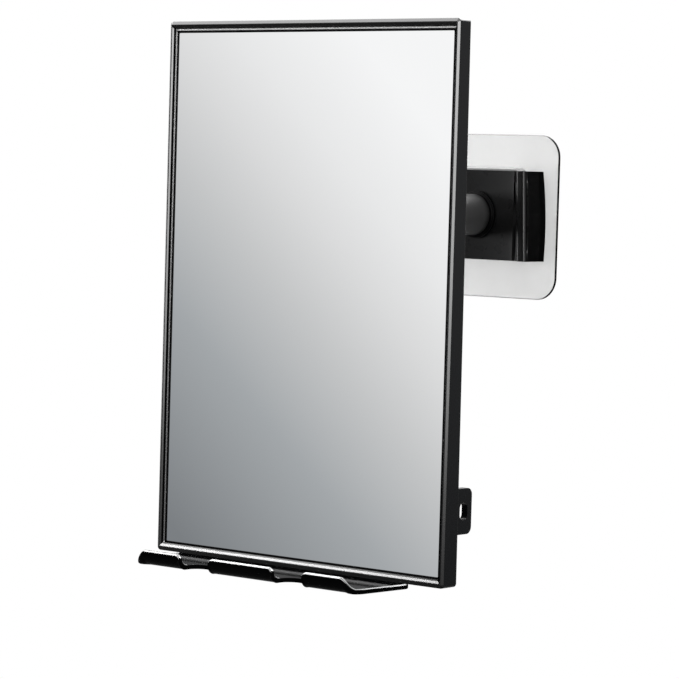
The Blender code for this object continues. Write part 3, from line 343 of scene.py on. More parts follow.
class MirrorStageSettings(bpy.types.PropertyGroup):
    """Camera, graded card and floor."""

    camera_place: FloatVectorProperty(
        name="Camera place", description="Where the camera stands",
        default=(0.88404, -1.18845, 0.01958), size=3, subtype="TRANSLATION")
    azimuth: slant("Azimuth", "Turn of the view from straight on", 39.509)
    elevation: slant("Elevation", "How far the view looks down", 3.203)
    roll: slant("Roll", "Roll of the camera", 1.642)
    focal_length: FloatProperty(name="Focal length", default=159.06, min=1.0, max=500.0,
                                description="Lens of the camera in millimetres")
    card_distance: length("Card distance", "Distance of the graded card along the mirrored view",
                          2.53, 10.0)
    floor_height: FloatProperty(name="Floor height", description="Height of the floor",
                                default=-0.62, unit="LENGTH")
    floor_radius: length("Floor radius", "Radius of the floor", 1.9, 10.0)


SETTINGS = {
    "mirror_pad": MirrorPadSettings,
    "mirror_bracket": MirrorBracketSettings,
    "mirror_arm": MirrorArmSettings,
    "mirror_joint": MirrorJointSettings,
    "mirror_casing": MirrorCasingSettings,
    "mirror_tray": MirrorTraySettings,
    "mirror_loop": MirrorLoopSettings,
    "mirror_finish": MirrorFinishSettings,
    "mirror_stage": MirrorStageSettings,
}


# Shapes

def finish_mesh(piece, sharp=32.0):
    piece.data.shade_smooth()
    piece.data.set_sharp_from_angle(angle=math.radians(sharp))
    return piece


def mesh_piece(name, bm, material=None, sharp=32.0):
    bmesh.ops.remove_doubles(bm, verts=bm.verts, dist=TINY)
    bmesh.ops.recalc_face_normals(bm, faces=bm.faces)
    mesh = bpy.data.meshes.new(name)
    bm.to_mesh(mesh)
    bm.free()
    piece = bpy.data.objects.new(name, mesh)
    bpy.context.scene.collection.objects.link(piece)
    if material is not None:
        mesh.materials.append(material)
    return finish_mesh(piece, sharp)


def join_rings(bm, rings, closed=False):
    """Join a row of equal rings of points; an open row gets caps, which are returned."""
    loops = [[bm.verts.new(place) for place in ring] for ring in rings]
    pairs = list(zip(loops, loops[1:]))
    if closed:
        pairs.append((loops[-1], loops[0]))
    for lower, upper in pairs:
        for index in range(len(lower)):
            after = (index + 1) % len(lower)
            bm.faces.new((lower[index], lower[after], upper[after], upper[index]))
    return [] if closed else [bm.faces.new(loops[0]), bm.faces.new(loops[-1])]


def skin(name, rings, closed=False, sharp=32.0):
    bm = bmesh.new()
    join_rings(bm, rings, closed)
    return mesh_piece(name, bm, sharp=sharp)


def rounded_path(corners, closed=True, step_degrees=9.0):
    """Points of a path given as corners (across, up, radius), with the corners rounded."""
    points = []
    count = len(corners)
    for index, (across, up, radius) in enumerate(corners):
        here = Vector((across, up))
        at_end = not closed and index in (0, count - 1)
        if radius == 0 or at_end:
            points.append((across, up))
            continue
        back = Vector(corners[index - 1][:2]) - here
        ahead = Vector(corners[(index + 1) % count][:2]) - here
        turn = math.pi - back.angle(ahead)
        if turn < math.radians(1.0):
            points.append((across, up))
            continue
        slope = math.tan(turn / 2)
        reach = min(radius * slope, 0.49 * back.length, 0.49 * ahead.length)
        start = here + back.normalized() * reach
        middle = (back.normalized() + ahead.normalized()).normalized()
        centre = here + middle * (reach / slope / math.cos(turn / 2))
        arm = start - centre
        end = here + ahead.normalized() * reach - centre
        sign = 1 if arm.x * end.y - arm.y * end.x > 0 else -1
        steps = max(2, math.ceil(math.degrees(turn) / step_degrees))
        for step in range(steps + 1):
            angle = sign * turn * step / steps
            points.append((
                centre.x + arm.x * math.cos(angle) - arm.y * math.sin(angle),
                centre.y + arm.x * math.sin(angle) + arm.y * math.cos(angle),
            ))
    return points


def quarter(steps):
    """Shares (1 - sine, 1 - cosine) at even steps of a quarter turn."""
    turns = [math.radians(90.0 * step / steps) for step in range(steps + 1)]
    return [(1 - math.sin(turn), 1 - math.cos(turn)) for turn in turns]


def rounded_outline(half_width, half_height, radius, steps=12):
    """Points (across, up) of a rectangle with round corners, anticlockwise."""
    points = []
    for corner, (side, end) in enumerate(((1, 1), (-1, 1), (-1, -1), (1, -1))):
        for step in range(steps + 1):
            angle = math.radians(90.0 * (corner + step / steps))
            points.append((
                side * (half_width - radius) + radius * math.cos(angle),
                end * (half_height - radius) + radius * math.sin(angle),
            ))
    return points


def upright_ring(half_width, half_height, radius, middle, steps, out):
    """A rounded rectangle in x and z, at a distance out or at one that a rule of z gives."""
    points = []
    for x, z in rounded_outline(half_width, half_height, radius, steps):
        z += middle
        points.append((x, -(out(z) if callable(out) else out), z))
    return points


def plate_rings(half, radius, middle, section, steps):
    """Rings of a rounded square in x and z; the section lists (inset, out)."""
    return [upright_ring(half - inset, half - inset, max(radius - inset, NEAR), middle, steps, out)
            for inset, out in section]


def edge_section(low, high, rounding, steps=5):
    """Rear and front half of the section (inset, out) of a plate's edge, both rounded."""
    rear = [(rounding * fall, low + rounding * rise) for fall, rise in quarter(steps)]
    front = [(rounding * rise, high - rounding * fall) for fall, rise in quarter(steps)]
    return rear, front


def axis_frame(origin, direction):
    turn = direction.to_track_quat("Z", "Y").to_matrix().to_4x4()
    return Matrix.Translation(origin) @ turn


def arm_axis(out=0.0):
    return axis_frame(Vector((0, -out, ARM_Z)), OUTWARDS)


def screw_end(node, axis, back=0.0):
    """Middle of a packed screw's low end along an axis, or a place a little before it."""
    low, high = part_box(node)
    spot = (Vector(low) + Vector(high)) / 2
    spot[axis] = low[axis] - back
    return axis_frame(spot, -OUTWARDS if axis == 1 else -UPWARDS)


def turned(name, profile, place, steps=96, closed=False, swell=None, sharp=32.0):
    """Turn a profile of (radius, height); swell gives a factor for a radius at an angle."""
    bm = bmesh.new()
    rings = []
    for radius, height in profile:
        if radius < TINY:
            rings.append([bm.verts.new(place @ Vector((0, 0, height)))])
            continue
        ring = []
        for step in range(steps):
            angle = math.tau * step / steps
            wide = radius * swell(angle, radius) if swell else radius
            spot = Vector((wide * math.cos(angle), wide * math.sin(angle), height))
            ring.append(bm.verts.new(place @ spot))
        rings.append(ring)
    pairs = list(zip(rings, rings[1:]))
    if closed:
        pairs.append((rings[-1], rings[0]))
    for lower, upper in pairs:
        for step in range(steps):
            after = (step + 1) % steps
            corners = [lower[step % len(lower)], lower[after % len(lower)],
                       upper[after % len(upper)], upper[step % len(upper)]]
            if len(set(corners)) > 2:
                bm.faces.new(list(dict.fromkeys(corners)))
    return mesh_piece(name, bm, sharp=sharp)


def block(name, low, high):
    """A block between two corners, each given as (x, out, z)."""
    return skin(name, [[(low[0], -low[1], z), (high[0], -low[1], z),
                        (high[0], -high[1], z), (low[0], -high[1], z)] for z in (low[2], high[2])])


def rod(name, radius, reach, place, steps=48):
    return turned(name, [(0, 0), (radius, 0), (radius, reach), (0, reach)], place, steps)


def apply_modifiers(piece):
    bpy.context.view_layer.update()
    graph = bpy.context.evaluated_depsgraph_get()
    mesh = bpy.data.meshes.new_from_object(piece.evaluated_get(graph))
    piece.modifiers.clear()
    old = piece.data
    piece.data = mesh
    bpy.data.meshes.remove(old)


def combine(piece, tools, operation):
    for tool in tools:
        modifier = piece.modifiers.new(tool.name, "BOOLEAN")
        modifier.operation = operation
        modifier.object = tool
        apply_modifiers(piece)
        bpy.data.objects.remove(tool, do_unlink=True)


def cut(piece, *tools):
    combine(piece, tools, "DIFFERENCE")


def fuse(piece, *tools):
    combine(piece, tools, "UNION")


def soften(piece, width, degrees=35.0):
    """Round every edge sharper than an angle."""
    modifier = piece.modifiers.new("soften", "BEVEL")
    modifier.width = width
    modifier.segments = 3
    modifier.limit_method = "ANGLE"
    modifier.angle_limit = math.radians(degrees)
    modifier.use_clamp_overlap = True
    apply_modifiers(piece)
    finish_mesh(piece)


def arc(radius, start_degrees, end_degrees, steps=24):
    """Points (radius from the axis, height along it) of an arc about the origin."""
    points = []
    for step in range(steps + 1):
        angle = math.radians(start_degrees + (end_degrees - start_degrees) * step / steps)
        points.append((radius * math.sin(angle), radius * math.cos(angle)))
    return points


# Finishes

def new_material(name):
    material = bpy.data.materials.new(name)
    material.use_nodes = True
    return material, material.node_tree.nodes["Principled BSDF"]


def add_node(tree, kind, **values):
    """A new shader node; each value goes to the input of that name, with _ for a space."""
    node = tree.nodes.new("ShaderNode" + kind)
    for name, value in values.items():
        node.inputs[name.replace("_", " ")].default_value = value
    return node


def add_math(tree, kind, operation):
    node = add_node(tree, kind)
    node.operation = operation
    return node


def add_noise(tree, scale, detail, low=0.0, high=1.0, stretch=(1, 1, 1)):
    """Noise in object space, remapped to a range; returns the value's socket."""
    link = tree.links.new
    place = add_node(tree, "TexCoord")
    mapping = add_node(tree, "Mapping", Scale=stretch)
    noise = add_node(tree, "TexNoise", Scale=scale, Detail=detail)
    remap = add_node(tree, "MapRange", To_Min=low, To_Max=high)
    link(place.outputs["Object"], mapping.inputs["Vector"])
    link(mapping.outputs["Vector"], noise.inputs["Vector"])
    link(noise.outputs["Fac"], remap.inputs["Value"])
    return remap.outputs["Result"]


def skin_marks(material, base, tint, roughness, gloss, bump):
    """Let colour, roughness and surface wander a little.

    tint is (low, high, scale, detail), gloss is (low, high, scale, detail, stretch) and bump
    is (scale, detail, strength, distance, stretch).
    """
    tree = material.node_tree
    link = tree.links.new
    shader = tree.nodes["Principled BSDF"]
    low, high, scale, detail = tint
    ramp = add_node(tree, "ValToRGB")
    for element, position, level in zip(ramp.color_ramp.elements, (0.3, 0.7), (low, high)):
        element.position = position
        element.color = (*[min(part * level, 1.0) for part in base], 1.0)
    link(add_noise(tree, scale, detail), ramp.inputs["Fac"])
    link(ramp.outputs["Color"], shader.inputs["Base Color"])
    if gloss:
        low, high, *grain = gloss
        scale, detail, *stretch = grain
        link(add_noise(tree, scale, detail, roughness * low, roughness * high, *stretch),
             shader.inputs["Roughness"])
    if bump:
        scale, detail, strength, distance, *stretch = bump
        relief = add_node(tree, "Bump", Strength=strength, Distance=distance)
        link(add_noise(tree, scale, detail, 0.0, 1.0, *stretch), relief.inputs["Height"])
        link(relief.outputs["Normal"], shader.inputs["Normal"])
    return material


def moulded_plastic(name, base, roughness, specular, grain, grain_scale):
    """Injection moulded plastic: slightly uneven gloss over a very fine skin."""
    material, shader = new_material(name)
    shader.inputs["Specular IOR Level"].default_value = specular
    return skin_marks(material, base, (0.94, 1.06, 45.0, 2.0), roughness,
                      (0.9, 1.1, 160.0, 3.0), (grain_scale, 3.0, grain, 0.00005))


def painted_shade_to_foot(material, start, reach, dark):
    """Painted shade: let the colour fall to a dark share over a reach in front of a place out of
    the wall.
    """
    tree = material.node_tree
    link = tree.links.new
    shader = tree.nodes["Principled BSDF"]
    tone = shader.inputs["Base Color"].links[0].from_socket
    place = add_node(tree, "TexCoord")
    parts = add_node(tree, "SeparateXYZ")
    fall = add_node(tree, "MapRange", From_Min=-start, From_Max=-(start + reach),
                    To_Min=dark, To_Max=1.0)
    fall.interpolation_type = "SMOOTHSTEP"
    scaled = add_math(tree, "VectorMath", "SCALE")
    link(place.outputs["Object"], parts.inputs[0])
    link(parts.outputs["Y"], fall.inputs["Value"])
    link(tone, scaled.inputs[0])
    link(fall.outputs["Result"], scaled.inputs["Scale"])
    link(scaled.outputs["Vector"], shader.inputs["Base Color"])


def clear_plastic(name, tint, roughness, clearness=1.0):
    """Clear plastic; a clearness below one leaves a milky share."""
    material, shader = new_material(name)
    shader.inputs["Transmission Weight"].default_value = clearness
    shader.inputs["IOR"].default_value = 1.46
    return skin_marks(material, tint, (0.99, 1.01, 30.0, 2.0), roughness,
                      (0.8, 1.2, 90.0, 3.0), (160.0, 2.0, 0.04, 0.00005))


def turned_metal(name, base, roughness, grain):
    """Machined metal with fine turning marks."""
    material, shader = new_material(name)
    shader.inputs["Metallic"].default_value = 1.0
    return skin_marks(material, base, (0.92, 1.06, 120.0, 3.0), roughness,
                      (0.8, 1.25, 900.0, 4.0, (1, 8, 1)), (1400.0, 3.0, grain, 0.00004, (1, 6, 1)))


def make_finishes(look):
    gloss, satin = look.gloss_roughness, look.satin_roughness
    plastics = {
        "gloss_black": ("gloss_black_plastic", look.gloss_black, gloss, 0.25, 0.015, 500.0),
        "edge_gloss": ("polished_black_edge", look.gloss_black, gloss * 2.0, 1.0, 0.01, 500.0),
        # Painted highlight on the frame's upper lip, as a pale grey base colour.
        "lip_painted_highlight": ("painted_highlight_lip", look.lip_highlight_grey, gloss * 2.0, 1.0, 0.01, 500.0),
        # Painted highlight on the lower bezel's slope and the tray lip's top, as a mid grey base
        # colour.
        "bead_painted_highlight": ("painted_highlight_bead", look.bead_highlight_grey, gloss * 2.0, 1.0, 0.01, 500.0),
        "deep_black": ("deep_black_plastic", look.deep_black, gloss * 2.4, 0.045, 0.004, 400.0),
        "side_black": ("fine_textured_black_plastic", look.side_black, gloss * 2.2,
                       0.1, 0.05, 1800.0),
        "satin_black": ("satin_black_plastic", look.satin_black, satin, 0.12, 0.03, 1800.0),
        # Painted highlight on the arm's socket and tube, as a lighter black.
        "socket_highlight_black": ("painted_highlight_socket_plastic", look.socket_highlight_black, satin * 1.5, 0.35, 0.05, 1800.0),
        # Painted shade on the bracket's sides, the grooves beside the ridges and the socket's foot.
        "painted_shade_black": ("dark_painted_shade_plastic", look.painted_shade_black, satin * 1.6, 0.012, 0.05, 1800.0),
        "smooth_black": ("smooth_black_plastic", look.deep_black, gloss * 0.4, 0.01, 0.002, 400.0),
        "under_black": ("shaded_black_plastic", look.deep_black, gloss * 2.0, 0.003, 0.004, 400.0),
        "tray_black": ("polished_tray_plastic", look.deep_black, gloss * 0.65,
                       0.002, 0.002, 300.0),
        # Painted highlight on the ring's upper edge.
        "ring_painted_highlight": ("painted_highlight_ring_edge", look.ring_highlight_grey, 0.3, 0.3, 0.01, 400.0),
        # Painted shade on the sheet's side edges and painted highlight on its upper and lower
        # edges.
        "sheet_side_painted_shade": ("painted_shade_sheet_side", look.sheet_side_painted_shade, 0.25, 0.03, 0.02, 400.0),
        "sheet_end_painted_highlight": ("painted_highlight_sheet_end", look.sheet_end_painted_highlight, 0.3, 0.3, 0.02, 400.0),
        "glass_edge": ("ground_glass_edge", look.glass_edge, 0.35, 0.5, 0.1, 1800.0),
        "nylon": ("natural_nylon", look.nylon, 0.42, 0.45, 0.15, 1800.0),
    }
    finishes = {finish: moulded_plastic(*values) for finish, values in plastics.items()}
    finishes["clear"] = clear_plastic("clear_sheet_plastic", look.clear, 0.08, 0.70)
    finishes["ring"] = clear_plastic("clear_moulded_plastic", look.clear, 0.05)
    finishes["gel"] = clear_plastic("adhesive_gel", look.gel, 0.35)
    finishes["steel"] = turned_metal("stainless_screw_steel", look.steel, 0.24, 0.12)
    finishes["brass"] = turned_metal("turned_brass", look.brass, 0.28, 0.12)

    mirror, shader = new_material("silvered_mirror")
    shader.inputs["Metallic"].default_value = 1.0
    finishes["mirror"] = skin_marks(mirror, look.silver, (0.997, 1.003, 14.0, 2.0), 1.0,
                                    (0.012, 0.022, 40.0, 3.0), None)
    foam = new_material("closed_cell_foam")[0]
    finishes["foam"] = skin_marks(foam, look.foam, (0.6, 1.4, 1500.0, 4.0), 1.0,
                                  (0.85, 0.97, 300.0, 3.0), (2600.0, 4.0, 0.6, 0.0002))
    return finishes


FINISHES = {}


def paint(piece, finishes, rule):
    """Give each face the finish that the rule names, or else the first one."""
    for finish in finishes:
        piece.data.materials.append(FINISHES[finish])
    for face in piece.data.polygons:
        face.material_index = finishes.index(rule(face) or finishes[0])


def place_piece(piece, body, finish, *nodes):
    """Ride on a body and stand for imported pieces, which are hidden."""
    modifier = piece.modifiers.new("flat_faces", "WEIGHTED_NORMAL")
    modifier.keep_sharp = True
    apply_modifiers(piece)
    if not piece.data.materials:
        piece.data.materials.append(FINISHES[finish])
    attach(piece, body)
    if nodes:
        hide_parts(*nodes)
    return piece


def dress_node(node, finish):
    """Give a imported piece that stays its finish."""
    item = frame["nodes"][node]
    item.data.materials.clear()
    item.data.materials.append(FINISHES[finish])
    finish_mesh(item)


# Operators

class MIRROR_OT_finishes(bpy.types.Operator):
    """Make the finishes that the pieces share"""

    bl_idname = "mirror.finishes"
    bl_label = "Finishes"

    def execute(self, context):
        FINISHES.update(make_finishes(context.scene.mirror_finish))
        return {"FINISHED"}


class MIRROR_OT_wall_pad(bpy.types.Operator):
    """Build the adhesive, the clear sheet and its square ring"""

    bl_idname = "mirror.wall_pad"
    bl_label = "Wall Pad"

    def execute(self, context):
        sizes = context.scene.mirror_pad
        half = GEL_HIGH[0]
        rear, front = edge_section(GEL_LOW[1], GEL_HIGH[1], (GEL_HIGH[1] - GEL_LOW[1]) * 0.3)
        corner = sizes.corner - (PAD_HIGH[0] - half)
        gel = skin("adhesive_sheet", plate_rings(half, corner, 0, rear + front, 20))
        place_piece(gel, "pad", "gel", "wall_adhesive")

        chamfer = sizes.back_chamfer
        front = edge_section(PAD_LOW[1], PAD_HIGH[1], sizes.edge_round)[1]
        section = [(chamfer, PAD_LOW[1]), (0, PAD_LOW[1] + chamfer * 0.6)] + front
        sheet = skin("clear_pad_sheet", plate_rings(PAD_HIGH[0], sizes.corner, 0, section, 20))

        def sheet_rule(face):
            # Edge faces are painted: dark at the sides as painted shade, grey at the top and bottom
            # as painted highlight.
            if abs(face.normal.y) < 0.985:
                return "sheet_side_painted_shade" if abs(face.normal.x) > 0.25 else "sheet_end_painted_highlight"

        paint(sheet, ("clear", "sheet_side_painted_shade", "sheet_end_painted_highlight"), sheet_rule)
        place_piece(sheet, "pad", "clear", "wall_pad")

        half = RING_HIGH[0]
        back, top = RING_LOW[1], RING_HIGH[1]
        middle = (RING_LOW[2] + RING_HIGH[2]) / 2
        front = edge_section(back, top, sizes.ring_round)[1]
        section = [(sizes.ring_chamfer, back), (0, back + sizes.ring_chamfer)] + front
        rings = plate_rings(half, sizes.ring_corner, middle, section, 14)
        band, rounding = sizes.ring_band, sizes.window_round
        for inset, out in ((band - rounding, top), (band - rounding * 0.3, top - rounding * 0.3),
                           (band, top - rounding), (band, back)):
            rings.append(upright_ring(half - inset, half - inset, sizes.window_corner,
                                      middle, 14, out))
        ring = skin("clear_pad_ring", rings, closed=True)
        groove_back = back + sizes.groove_floor
        low_z = RING_LOW[2] + sizes.groove_stop
        for side in (-1, 1):
            edges = sorted((side * (half - sizes.groove_depth), side * (half + OVERRUN)))
            cut(ring, block("groove_tool", (edges[0], groove_back, low_z),
                            (edges[1], groove_back + sizes.groove_width, RING_HIGH[2] + OVERRUN)))
        finish_mesh(ring)

        def ring_rule(face):
            # Front faces of the ring's top, above the bracket, get the painted highlight.
            if face.center.z > BRACKET_HIGH[2] - OVERRUN and face.center.y < -back - NEAR:
                return "ring_painted_highlight"

        paint(ring, ("ring", "ring_painted_highlight"), ring_rule)
        place_piece(ring, "pad", "ring", "pad_ring")
        return {"FINISHED"}


def bracket_section(sizes, pad):
    """Rounded level section of the bracket, as points (x, out)."""
    ridge_outer = sizes.ridge_span / 2
    ridge_inner = ridge_outer - sizes.ridge_width
    edge = sizes.depth - sizes.ridge_step
    pocket = RING_HIGH[0] + GAP
    tip = pocket - pad.groove_depth
    back = RING_LOW[1] + pad.groove_floor
    front = back + pad.groove_width
    wall = BRACKET_LOW[1]
    foot = sizes.base_width / 2
    line = ridge_inner - sizes.line_setback
    steps = 16
    half = []
    for step in range(1, steps):
        part = step / steps
        x = part * ridge_inner
        if abs(x - line) > sizes.line_width * 0.9:
            half.append((x, edge - sizes.hollow * (1 - part * part), 0))
        elif not any(abs(place[0] - line) < sizes.line_width for place in half):
            out = edge - sizes.hollow * (1 - (line / ridge_inner) ** 2)
            for side, sink in ((-0.5, 0), (-0.4, 1), (0.4, 1), (0.5, 0)):
                half.append((line + side * sizes.line_width, out - sink * sizes.line_depth, 0))
    half += [
        (ridge_inner - NEAR, edge, sizes.ridge_foot),
        (ridge_inner + sizes.ridge_lean, sizes.depth, sizes.ridge_round),
        (ridge_outer, sizes.depth, sizes.ridge_round),
        (foot - sizes.side_flare, wall + sizes.flare_height, sizes.flare_round),
        (foot, wall + sizes.foot_height, FINE_EDGE), (foot, wall, HAIR_EDGE),
        (pocket, wall, 0), (pocket, back + GAP, 0), (tip, back + GAP, 0),
        (tip, front - GAP, 0), (pocket, front - GAP, 0), (pocket, RING_HIGH[1] + GAP, 0),
    ]
    corners = [(0, edge - sizes.hollow, 0)] + half
    corners += [(-x, out, rounding) for x, out, rounding in reversed(half)]
    return rounded_path(corners)


class MIRROR_OT_bracket(bpy.types.Operator):
    """Build the bracket with its two ridges and the arm's socket"""

    bl_idname = "mirror.bracket"
    bl_label = "Wall Bracket"

    def execute(self, context):
        sizes = context.scene.mirror_bracket
        pad = context.scene.mirror_pad
        outline = bracket_section(sizes, pad)
        low_z, high_z = BRACKET_LOW[2], BRACKET_HIGH[2]
        pocket = RING_HIGH[0] + GAP
        ridge_inner = sizes.ridge_span / 2 - sizes.ridge_width
        beside_ridge = ridge_inner - OVERRUN / 4
        plate = sizes.depth - sizes.ridge_step
        rings = []
        rows = 16
        for row in range(rows + 1):
            part = row / rows
            swell = sizes.bulge * 4 * part * (1 - part)
            ring = []
            for x, out in outline:
                past_pocket = abs(x) > pocket + TINY
                outside = past_pocket and out < sizes.depth - sizes.ridge_round
                stretch = swell * 2 * x / sizes.base_width if outside else 0
                if past_pocket or (abs(x) > beside_ridge and out > plate - TINY):
                    stretch += math.copysign(1, x) * sizes.taper * (0.5 - part)
                ring.append((x + stretch, -out, low_z + (high_z - low_z) * part))
            rings.append(ring)
        bm = bmesh.new()
        caps = join_rings(bm, rings)
        bmesh.ops.recalc_face_normals(bm, faces=bm.faces)
        edges = list(dict.fromkeys(edge for cap in caps for edge in cap.edges))
        bmesh.ops.bevel(bm, geom=edges, offset=sizes.edge_round, segments=4, profile=0.5,
                        affect="EDGES", clamp_overlap=True)
        bracket = mesh_piece("hook_on_bracket", bm)

        bore_floor = TUBE_LOW[1] - GAP
        well_floor = bore_floor - sizes.screw_wall
        root, end = well_floor + GAP, BRACKET_HIGH[1]
        radius, flare, rim = sizes.boss_radius, sizes.boss_flare, sizes.rim_round
        profile = [(0, root), (radius + flare, root)]
        profile += [(radius + flare * fall, plate + flare * rise) for fall, rise in quarter(8)]
        profile += [(radius - rim * rise, end - rim * fall) for fall, rise in quarter(5)]
        fuse(bracket, turned("boss_tool", profile + [(0, end)], arm_axis()))
        well_start = RING_HIGH[1] - OVERRUN
        for name, hole, start, stop, steps in (
                ("bore_tool", sizes.bore_radius, bore_floor, end + OVERRUN, 96),
                ("well_tool", sizes.well_radius, well_start, well_floor, 64),
                ("screw_hole_tool", sizes.screw_hole, 0, bore_floor + GAP, 48)):
            cut(bracket, rod(name, hole, stop - start, arm_axis(start), steps))
        hook_end = RING_LOW[2] + pad.groove_stop + GAP
        cut(bracket, block("hook_end_tool", (-pocket, 0, low_z - OVERRUN),
                           (pocket, RING_HIGH[1] + GAP, hook_end)))
        finish_mesh(bracket)
        # Painted shade: the socket's colour falls to 12 per cent of its tone at its foot.
        painted_shade_to_foot(FINISHES["socket_highlight_black"], plate + flare, sizes.socket_shade, 0.12)

        def rule(face):
            x, out, z = face.center.x, -face.center.y, face.center.z
            # The bracket's sides get the painted shade.
            if abs(face.normal.x) > 0.9 and abs(x) > pocket + OVERRUN:
                return "painted_shade_black"
            # The fine groove beside each ridge and the ridges' inner sides get the painted shade,
            # for the shadow beside the ridge.
            from_line = abs(abs(x) - ridge_inner + sizes.line_setback)
            in_line = from_line < sizes.line_width * 0.62 and out > plate - OVERRUN
            inwards = -face.normal.x * math.copysign(1, x) > 0.3
            on_ridge = pocket > abs(x) > beside_ridge and out < plate + OVERRUN / 2
            if in_line or (inwards and on_ridge):
                return "painted_shade_black"
            if face.normal.z > 0.3 and z > high_z - OVERRUN / 2:
                return "smooth_black"
            across = math.hypot(x, z - ARM_Z)
            # The socket's side gets the lighter black of the painted highlight.
            if out > plate + flare - TINY and across < radius * 1.02:
                return "socket_highlight_black"
            # The socket's foot fillet gets the painted shade.
            if radius < across < radius + flare and abs(face.normal.y) < 0.99:
                return "painted_shade_black"

        paint(bracket, ("satin_black", "painted_shade_black", "socket_highlight_black", "smooth_black"), rule)
        place_piece(bracket, "arm", "satin_black", "wall_bracket")
        return {"FINISHED"}


class MIRROR_OT_arm(bpy.types.Operator):
    """Build the arm's tube, the ball stud and its pin, and dress the plug and screw"""

    bl_idname = "mirror.arm"
    bl_label = "Arm"

    def execute(self, context):
        sizes = context.scene.mirror_arm
        radius, rounding = sizes.radius, sizes.edge_round
        inner = radius - sizes.wall
        low, high = TUBE_LOW[1], TUBE_HIGH[1]
        section = rounded_path([(inner, low, 0), (radius, low, rounding),
                                (radius, high, rounding), (inner, high, 0)])
        tube = turned("arm_tube_fine", section, arm_axis(), closed=True)

        ball_radius, neck = sizes.ball_radius, sizes.neck_radius
        neck_degrees = 180.0 - math.degrees(math.asin(neck / ball_radius))
        reach = ball_radius + sizes.neck_length
        start = -reach - sizes.shoulder
        spigot = inner - GAP
        tail = start - sizes.spigot
        path = rounded_path([
            (neck, -ball_radius, 0), (neck, sizes.neck_flare - reach, sizes.neck_flare),
            (radius, -reach, sizes.shoulder_round), (radius, start, rounding), (spigot, start, 0),
            (spigot, tail, ROUND_EDGE), (0, tail, 0),
        ], closed=False)
        ball = arc(ball_radius, 0.0, neck_degrees, 40)
        stud = turned("ball_stud_fine", ball + path, arm_axis(BALL_OUT))

        pin_z = -(BALL_OUT + start - sizes.spigot / 2)
        half, wide = radius - sizes.pin_inset, radius + OVERRUN
        section = rounded_path([(0, 0, 0), (sizes.pin_radius, 0, FINE_EDGE),
                                (sizes.pin_radius, 2 * half, FINE_EDGE), (0, 2 * half, 0)],
                               closed=False)
        pin = turned("cross_pin", section, axis_frame(Vector((-half, pin_z, ARM_Z)), SIDEWAYS), 32)
        hole_place = axis_frame(Vector((-wide, pin_z, ARM_Z)), SIDEWAYS)
        for piece in (tube, stud):
            cut(piece, rod("pin_hole_tool", sizes.pin_radius + GAP, 2 * wide, hole_place, 32))
            finish_mesh(piece)
        # The tube shares the socket's lighter black of the painted highlight.
        place_piece(tube, "arm", "socket_highlight_black", "arm_tube")
        place_piece(stud, "arm", "steel", "ball_stud")
        place_piece(pin, "arm", "steel", "stud_pin")
        dress_node("arm_insert", "brass")
        dress_node("arm_screw", "steel")
        dress_node("arm_washer", "steel")
        return {"FINISHED"}


def cross_recess(place, width, depth):
    """Cutters for a cross-shaped driver recess, with their bottom at a depth under the place."""
    bars = []
    for along, across in ((width, width * 0.26), (width * 0.26, width)):
        rings = []
        for height, taper in ((-depth, 0.45), (NEAR * 4, 1.0)):
            x, y = (along, across * taper) if across > along else (along * taper, across)
            ring = ((-x, -y), (x, -y), (x, y), (-x, y))
            rings.append([place @ Vector((*point, height)) for point in ring])
        bars.append(skin("recess_tool", rings))
    return bars


def thread(reach, shank, point, pitch, room):
    """Profile of a screw's point and thread ridges, from its tip at -reach."""
    profile = [(0, -reach), (shank * point, shank * 0.5 - reach)]
    for turn in range(int((reach - room) / pitch)):
        base = shank * 0.9 - reach + pitch * turn
        profile += [(shank * 0.8, base), (shank, base + pitch / 2)]
    return profile


def pan_screw(name, node):
    """A pan head screw with a cross recess and a ridged shank, in a packed screw's place."""
    head, height, shank = PAN_HEAD
    low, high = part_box(node)
    middle = (Vector(low) + Vector(high)) / 2
    seat = high[1] - height
    place = axis_frame(Vector((middle.x, seat, middle.z)), -OUTWARDS)
    profile = thread(seat - low[1], shank, 0.35, PAN_PITCH, shank)
    profile += [(shank * 0.8, -HAIR_EDGE), (shank * 0.9, 0)]
    profile += rounded_path([(shank, 0, 0), (head, 0, HAIR_EDGE), (head, height * 0.62, ROUND_EDGE),
                             (head * 0.72, height, ROUND_EDGE), (0, height, 0)], closed=False)
    screw = turned(name, profile, place, 40)
    top = place @ Matrix.Translation((0, 0, height))
    cut(screw, *cross_recess(top, head * 0.52, height * 0.62))
    return finish_mesh(screw, 28.0)


